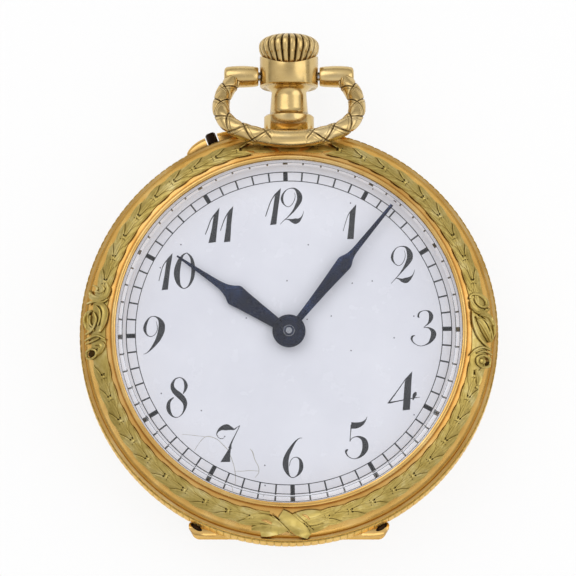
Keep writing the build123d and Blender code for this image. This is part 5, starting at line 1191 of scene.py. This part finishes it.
for name, profile, slot, steps, closed, sharp, body in (
        ("hand_boss", boss_profile, "blued_steel", 96, True, 30, "minute_hand"),
        ("cannon_tip", tip_profile, "blued_steel", 64, False, 40, "minute_hand"),
        ("arbor_end", centre_profile, "steel", 32, False, 60, "minute_hand"),
        ("hour_hand_boss", hour_boss, "blued_steel", 96, True, 30, "hour_hand")):
    settle(lathe(name, profile, finishes[slot], steps, closed, sharp=sharp), body, slot, body)

# %% [markdown]
# The crown. Its ribs are rounded and the grooves between them deep and narrow, and both follow the crown's
# curve and fade out at its two ends. It is a fine lathe sweep whose radius dips at every groove.

# %% Crown
along_y = Matrix.Translation((0, 0, stem_z * mm)) @ Matrix.Rotation(-math.pi / 2, 4, "X")
crown_ribs = 24
groove_depth = 0.24
bore_r, bore_top = 1.3, 22.2


def crown():
    outline = smooth_line([(1.6, crown_low), (1.78, 21.2), (2.07, 21.94), (2.2, 22.14), (2.29, 22.38),
                           (2.33, 22.62), (2.31, 22.86), (2.22, 23.08), (2.03, 23.28), (1.74, 23.44),
                           (1.34, 23.57), (0.8, 23.65), (0.3, crown_high)], 3)
    built, hollow = new_shape()
    per_rib = 14
    steps = crown_ribs * per_rib
    turns = angles_round(steps)
    cuts = [(max(0.0, abs(k % per_rib / per_rib - 0.5) * 2 - 0.25) / 0.75) ** 2.2 for k in range(steps)]
    rings = []
    for r, y in outline:
        depth = groove_depth * min(1.0, max(0.0, (r - 0.75) / 0.7))
        if y < 21.5:
            depth *= max(0.0, (y - 20.9) / 0.6)
        # The grooves are marked deep, so they take the dark brown of grime and painted shade.
        rings.append([corner(built, hollow, *polar(r - depth * cut, a), y, min(1.0, cut * depth / 0.16))
                      for a, cut in zip(turns, cuts)])
    skin(built, rings, ring=True)
    built.faces.new(rings[-1])
    inner = [[corner(built, None, *polar(bore_r, a), y) for a in turns] for y in (crown_low, bore_top)]
    skin(built, [rings[0]] + inner, ring=True)
    built.faces.new(inner[1])
    bmesh.ops.transform(built, matrix=along_y, verts=built.verts)
    return finish_mesh("crown_ribbed", built, pale_gold, 50)


settle(crown(), "crown", "pale_gold", "crown")


def pendant():
    """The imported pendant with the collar's lower edge let down, so that its cone is short."""
    piece = smooth_copy("pendant_turned", "pendant", pale_gold)
    for vertex in piece.data.vertices:
        x, y, z = (c / mm for c in vertex.co)
        if 19.7 < y < 20.0 and math.hypot(x, z - stem_z) > 2.0:
            vertex.co.y -= 0.34 * mm
    return piece


settle(pendant(), "case", "pale_gold", "pendant")

# %% [markdown]
# The bow. A round gold wire is bent to the outline and engraved all round with long leaf shapes that
# overlap and leave crossing cuts between them, from each boss down to a third of the bottom. The middle of
# the bottom is plain. The wire is swept as a tube whose radius follows the engraving: two families of cuts
# that cross, and a low pillow between them.

# %% Outline of the bow
bow_tilt = math.radians(37.0)
bow_pivot = Vector(joint_place("bow_swing"))
bow_down = Vector((0, -math.cos(bow_tilt), math.sin(bow_tilt)))
bow_front = Vector((0, math.sin(bow_tilt), math.cos(bow_tilt)))
wire_r = 0.67
carved_length, cut_pitch = 8.9, 1.75
cut_half, fine_half, pillow_half = 0.06, 0.035, 0.24
cut_depth, fine_depth, pillow_depth = 0.08, 0.035, 0.05


def bow_half():
    """Points (x, depth) of the wire's centre line from the right boss to the middle of the bottom."""
    points = []
    for cx, cd, r, a0, a1, count in ((0.19, 3.5, 5.03, -35.2, 0.0, 26), (2.22, 3.5, 3.0, 0.0, 62.2, 30),
                                     (0.0, -0.71, 7.76, 62.2, 90.0, 34)):
        for i in range(count):
            x, d = polar(r, math.radians(a0 + (a1 - a0) * i / count))
            points.append((cx + x, cd + d))
    points.append((0.0, 7.05))
    return points


print("points on half of the bow's outline:", len(bow_half()))

# %% [markdown]
# The wire follows the outline, and at every step a ring of points stands round it. How deep each point is
# cut depends on how far along the wire and how far round it lies. A turned boss closes each end.

# %% Bow
def bow_wire():
    half = bow_half()
    dense = smooth_line(half, 4)
    full = dense + [(-x, d) for x, d in reversed(dense[:-1])]
    lengths = [0.0]
    for (x0, d0), (x1, d1) in zip(full, full[1:]):
        lengths.append(lengths[-1] + math.hypot(x1 - x0, d1 - d0))
    total = lengths[-1]
    built, hollow = new_shape()
    rings = []
    for i, ((x, d), s) in enumerate(zip(full, lengths)):
        tx, td = heading(full, i)
        side = Vector((-td, 0, 0)) + bow_down * tx
        from_end = min(s, total - s)
        carved = min(1.0, max(0.0, (carved_length - from_end) / 0.15))
        centre = bow_pivot + Vector((x, 0, 0)) + bow_down * d
        ring = []
        for phi in angles_round(72):
            wave = from_end / cut_pitch
            one = (wave + phi / math.pi + 0.25) % 1.0
            two = (wave - phi / math.pi + 0.25) % 1.0
            near = min(min(one, 1 - one), min(two, 1 - two))
            beside = min(abs(one - 0.2), abs(two - 0.2))
            cut = max(0.0, 1.0 - near / cut_half)
            fine = max(0.0, 1.0 - beside / fine_half) * max(0.0, 1.0 - cut * 2)
            pillow = 1.0 - min(1.0, near / pillow_half)
            dip = carved * (cut_depth * cut + fine_depth * fine + pillow_depth * pillow ** 1.3)
            p = centre + (bow_front * math.cos(phi) + side * math.sin(phi)) * (wire_r - dip)
            # The cuts are marked deep, so they take the dark brown of grime and painted shade.
            ring.append(vertex_at(built, hollow, p * mm, carved * min(1.0, cut * 1.8 + fine * 0.7)))
        rings.append(ring)
    skin(built, rings, ring=True)
    for ring in (rings[0], rings[-1]):
        built.faces.new(ring)
    return finish_mesh("bow_wire", built, pale_gold, 50)


def bow_boss(side):
    profile = [(0.36, 2.35), (0.62, 2.35), (0.7, 2.37), (0.75, 2.45), (0.8, 2.8), (0.83, 3.3),
               (0.84, 3.675), (0.83, 4.05), (0.8, 4.5), (0.75, 4.8), (0.66, 4.93), (0.5, 4.99), (0.3, 5.0),
               (0.0, 5.0), (0.0, 4.6), (0.36, 4.6)]
    turn = Matrix.Rotation(side * math.pi / 2, 4, "Y")
    return lathe("bow_boss_" + handed(side), profile, pale_gold, 72,
                 place=Matrix.Translation(bow_pivot * mm) @ turn, sharp=40)


settle(bow_wire(), "bow", "pale_gold", "bow")
for side in (1, -1):
    settle(bow_boss(side), "bow", "pale_gold", "bow")

# %% [markdown]
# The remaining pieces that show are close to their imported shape, so they are merged copies of it, shaded
# smooth.

# %% Covers, pin and guards
for name, node, slot in (
        ("back_cover_polished", "back_cover", "case_gold"), ("cuvette_polished", "cuvette", "case_gold"),
        ("setting_pin_steel", "setting_pin", "dark_steel"), ("joint_pin_steel", "joint_pin", "steel"),
        ("bow_pivots_steel", "bow_pivots", "steel")):
    settle(smooth_copy(name, node, finishes[slot]), body_of[node], slot, node)

# %% [markdown]
# The guards of the setting pin are small domes, soldered to the band and cut off square beside the pin.
# Each is a quarter of an egg shape: its height above the band falls away from the pin and to both sides.

# %% Guards of the setting pin
guard_points = frame["nodes"]["pin_guards"].data.vertices
pin_turn = math.atan2(sum(v.co.y for v in guard_points), sum(v.co.x for v in guard_points))
guard_foot_r, guard_rise = 15.9, 0.76
guard_low, guard_high = span("pin_guards", "z")
guard_z, guard_half_height = (guard_low + guard_high) / 2, (guard_high - guard_low) / 2
guard_start, guard_length = 0.5, 1.8


def guard(side):
    built, hollow = new_shape()
    rows = []
    across, along = 16, 14
    for i in range(along + 1):
        u = i / along
        t = guard_start + guard_length * u
        row = []
        for k in range(across + 1):
            w = -1 + 2 * k / across
            rise = guard_rise * math.sqrt(max(0.0, 1 - u * u)) * max(0.0, 1 - abs(w) ** 2.8) ** 0.5
            r = math.sqrt(guard_foot_r ** 2 - t * t) + rise
            row.append(corner(built, hollow, r, side * t, guard_z + guard_half_height * w,
                              1.0 if rise < 0.04 else 0.0))
        rows.append(row)
    skin(built, rows)
    built.faces.new(rows[0])
    bmesh.ops.transform(built, matrix=Matrix.Rotation(pin_turn, 4, "Z"), verts=built.verts)
    return finish_mesh("pin_guard_" + handed(-side), built, case_gold, 40)


for side in (1, -1):
    settle(guard(side), "case", "case_gold", "pin_guards")

# %% [markdown]
# The outer knuckles of the joint are filed round above, so that they read as the two ends of a rod that
# runs under the band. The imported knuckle's flat top is lowered in the copy of the band, and a rounded strip
# closes it.

# %% Rounded knuckles
knuckle_start = 4.4


def knuckle(side):
    built, hollow = new_shape()
    section = [(-14.1, 2.72), (-14.3, 2.86), (-14.55, 2.92), (-14.8, 2.9), (-15.05, 2.8), (-15.22, 2.62),
               (-15.31, 2.38), (-15.335, 2.1), (-15.3, 1.9)]
    rows = []
    for share, inset in ((0.0, 0.0), (0.35, 0.0), (0.7, 0.0), (0.96, 0.0), (0.99, 0.03), (1.0, 0.09)):
        row = []
        for y, z in section:
            end = 7.52 + 0.577 * (y - knuckle_y) - knuckle_drawn_in(y)
            x = knuckle_start + (end - knuckle_start) * share
            row.append(corner(built, hollow, side * x, y + inset * (y < -14.6), z - inset,
                              0.4 if share == 1.0 else 0.0))
        rows.append(row)
    rows.append([built.verts.new((v.co.x, v.co.y + 0.25 * mm * (i > 4), 1.9 * mm))
                 for i, v in enumerate(rows[-1])])
    skin(built, rows)
    return finish_mesh("knuckle_" + handed(side), built, case_gold, 35)


for side in (1, -1):
    settle(knuckle(side), "case", "case_gold", "mid_case")

# %% [markdown]
# The joint's pin runs through the knuckles from end to end, and its two riveted ends show as dark ovals
# where the knuckles are cut aslant. Each end is a low dome with a rim, pressed into the knuckle's upper
# edge.

# %% Ends of the joint's pin
def pin_end(side):
    built, hollow = new_shape()
    centre = Vector((side * 7.08, -14.5))
    top, half_length, half_width = 2.92, 0.5, 0.19
    along = Vector(polar(1.0, math.radians(32) * side))
    across = Vector((-along.y, along.x))
    rows = []
    for share, height in ((1.0, -0.08), (1.0, 0.03), (0.86, 0.05), (0.8, 0.01), (0.4, 0.03), (0.05, 0.035)):
        row = []
        for t in angles_round(28):
            place = centre + (along * half_length * math.cos(t) + across * half_width * math.sin(t)) * share
            row.append(corner(built, hollow, *place, top + height, 1.0 if share in (0.8, 1.0) else 0.0))
        rows.append(row)
    skin(built, rows, ring=True)
    built.faces.new(rows[-1])
    return finish_mesh("joint_pin_end_" + handed(side), built, dark_steel, 40)


for side in (1, -1):
    settle(pin_end(side), "case", "steel", "joint_pin")

# %% [markdown]
# The stage. A pale floor under the watch, a soft sky and three large soft lamps. Polished metal shows what
# is round it, so the sky is darker near the horizon than overhead: this draws the dark lines along the
# bezel and the crown. The camera and the metal see mostly through the floor to a white ground, mixed with
# the floor's real shading, so that the shadow stays. Lamps pass the floor too, so that an open cover below
# its level is lit and shows. Below the horizon the sky is white only for the camera, mirrors and glass: no
# light comes from there.

# %% Floor, sky and lamps
def stage_floor():
    mesh = bpy.data.meshes.new("floor")
    half = 0.6
    low = -0.02 * mm
    mesh.from_pydata([(-half, -half, low), (half, -half, low), (half, half, low), (-half, half, low)], [],
                     [(0, 1, 2, 3)])
    material, tree, shader = empty_material("floor_pale")
    plug(tree, shader, {"Base Color": (0.92, 0.92, 0.92, 1), "Roughness": 0.8})
    light = add(tree, "ShaderNodeLightPath").outputs
    mirror = maths(tree, "MAXIMUM", light["Is Glossy Ray"], light["Is Transmission Ray"])
    seen = maths(tree, "MAXIMUM", light["Is Camera Ray"], mirror)
    most = maths(tree, "MULTIPLY", seen, 0.86)
    see_through(tree, shader, maths(tree, "MAXIMUM", most, light["Is Shadow Ray"]))
    mesh.materials.append(material)
    link(bpy.data.objects.new("floor", mesh))


def sky():
    world = bpy.data.worlds.new("soft_sky")
    bpy.context.scene.world = world
    world.use_nodes = True
    tree = world.node_tree
    place = add(tree, "ShaderNodeTexCoord").outputs["Generated"]
    height = add(tree, "ShaderNodeSeparateXYZ", {0: place}).outputs["Z"]
    share = spread(tree, height, 0.0, 1.0, -1.0, 1.0)
    grey = ramp(tree, share, [(0.5, (150, 148, 146)), (0.675, (212, 211, 210)), (0.875, (246, 246, 246)),
                              (0.95, (240, 240, 242)), (1.0, (204, 205, 209))])
    light = add(tree, "ShaderNodeLightPath").outputs
    mirror = maths(tree, "MAXIMUM", light["Is Glossy Ray"], light["Is Transmission Ray"])
    ground = maths(tree, "MULTIPLY", maths(tree, "LESS_THAN", height, 0.0), mirror)
    white = maths(tree, "MAXIMUM", ground, light["Is Camera Ray"])
    plug(tree, tree.nodes["Background"], {"Color": blend(tree, white, grey, (1, 1, 1, 1)), "Strength": 1.0})


def lamp(name, place, size, power):
    data = bpy.data.lights.new(name, "AREA")
    data.shape = "DISK"
    data.size = size
    data.energy = power
    thing = link(bpy.data.objects.new(name, data))
    thing.location = place
    aim = Vector((0, 0.003, 0.004)) - Vector(place)
    thing.rotation_euler = aim.to_track_quat("-Z", "Y").to_euler()


stage_floor()
sky()
lamp("key_lamp", (-0.16, 0.2, 0.28), 0.32, 0.27)
lamp("fill_lamp", (0.24, 0.02, 0.22), 0.3, 0.2)
lamp("low_lamp", (0.05, -0.3, 0.14), 0.2, 0.1)
print("lamps:", len(bpy.data.lights))
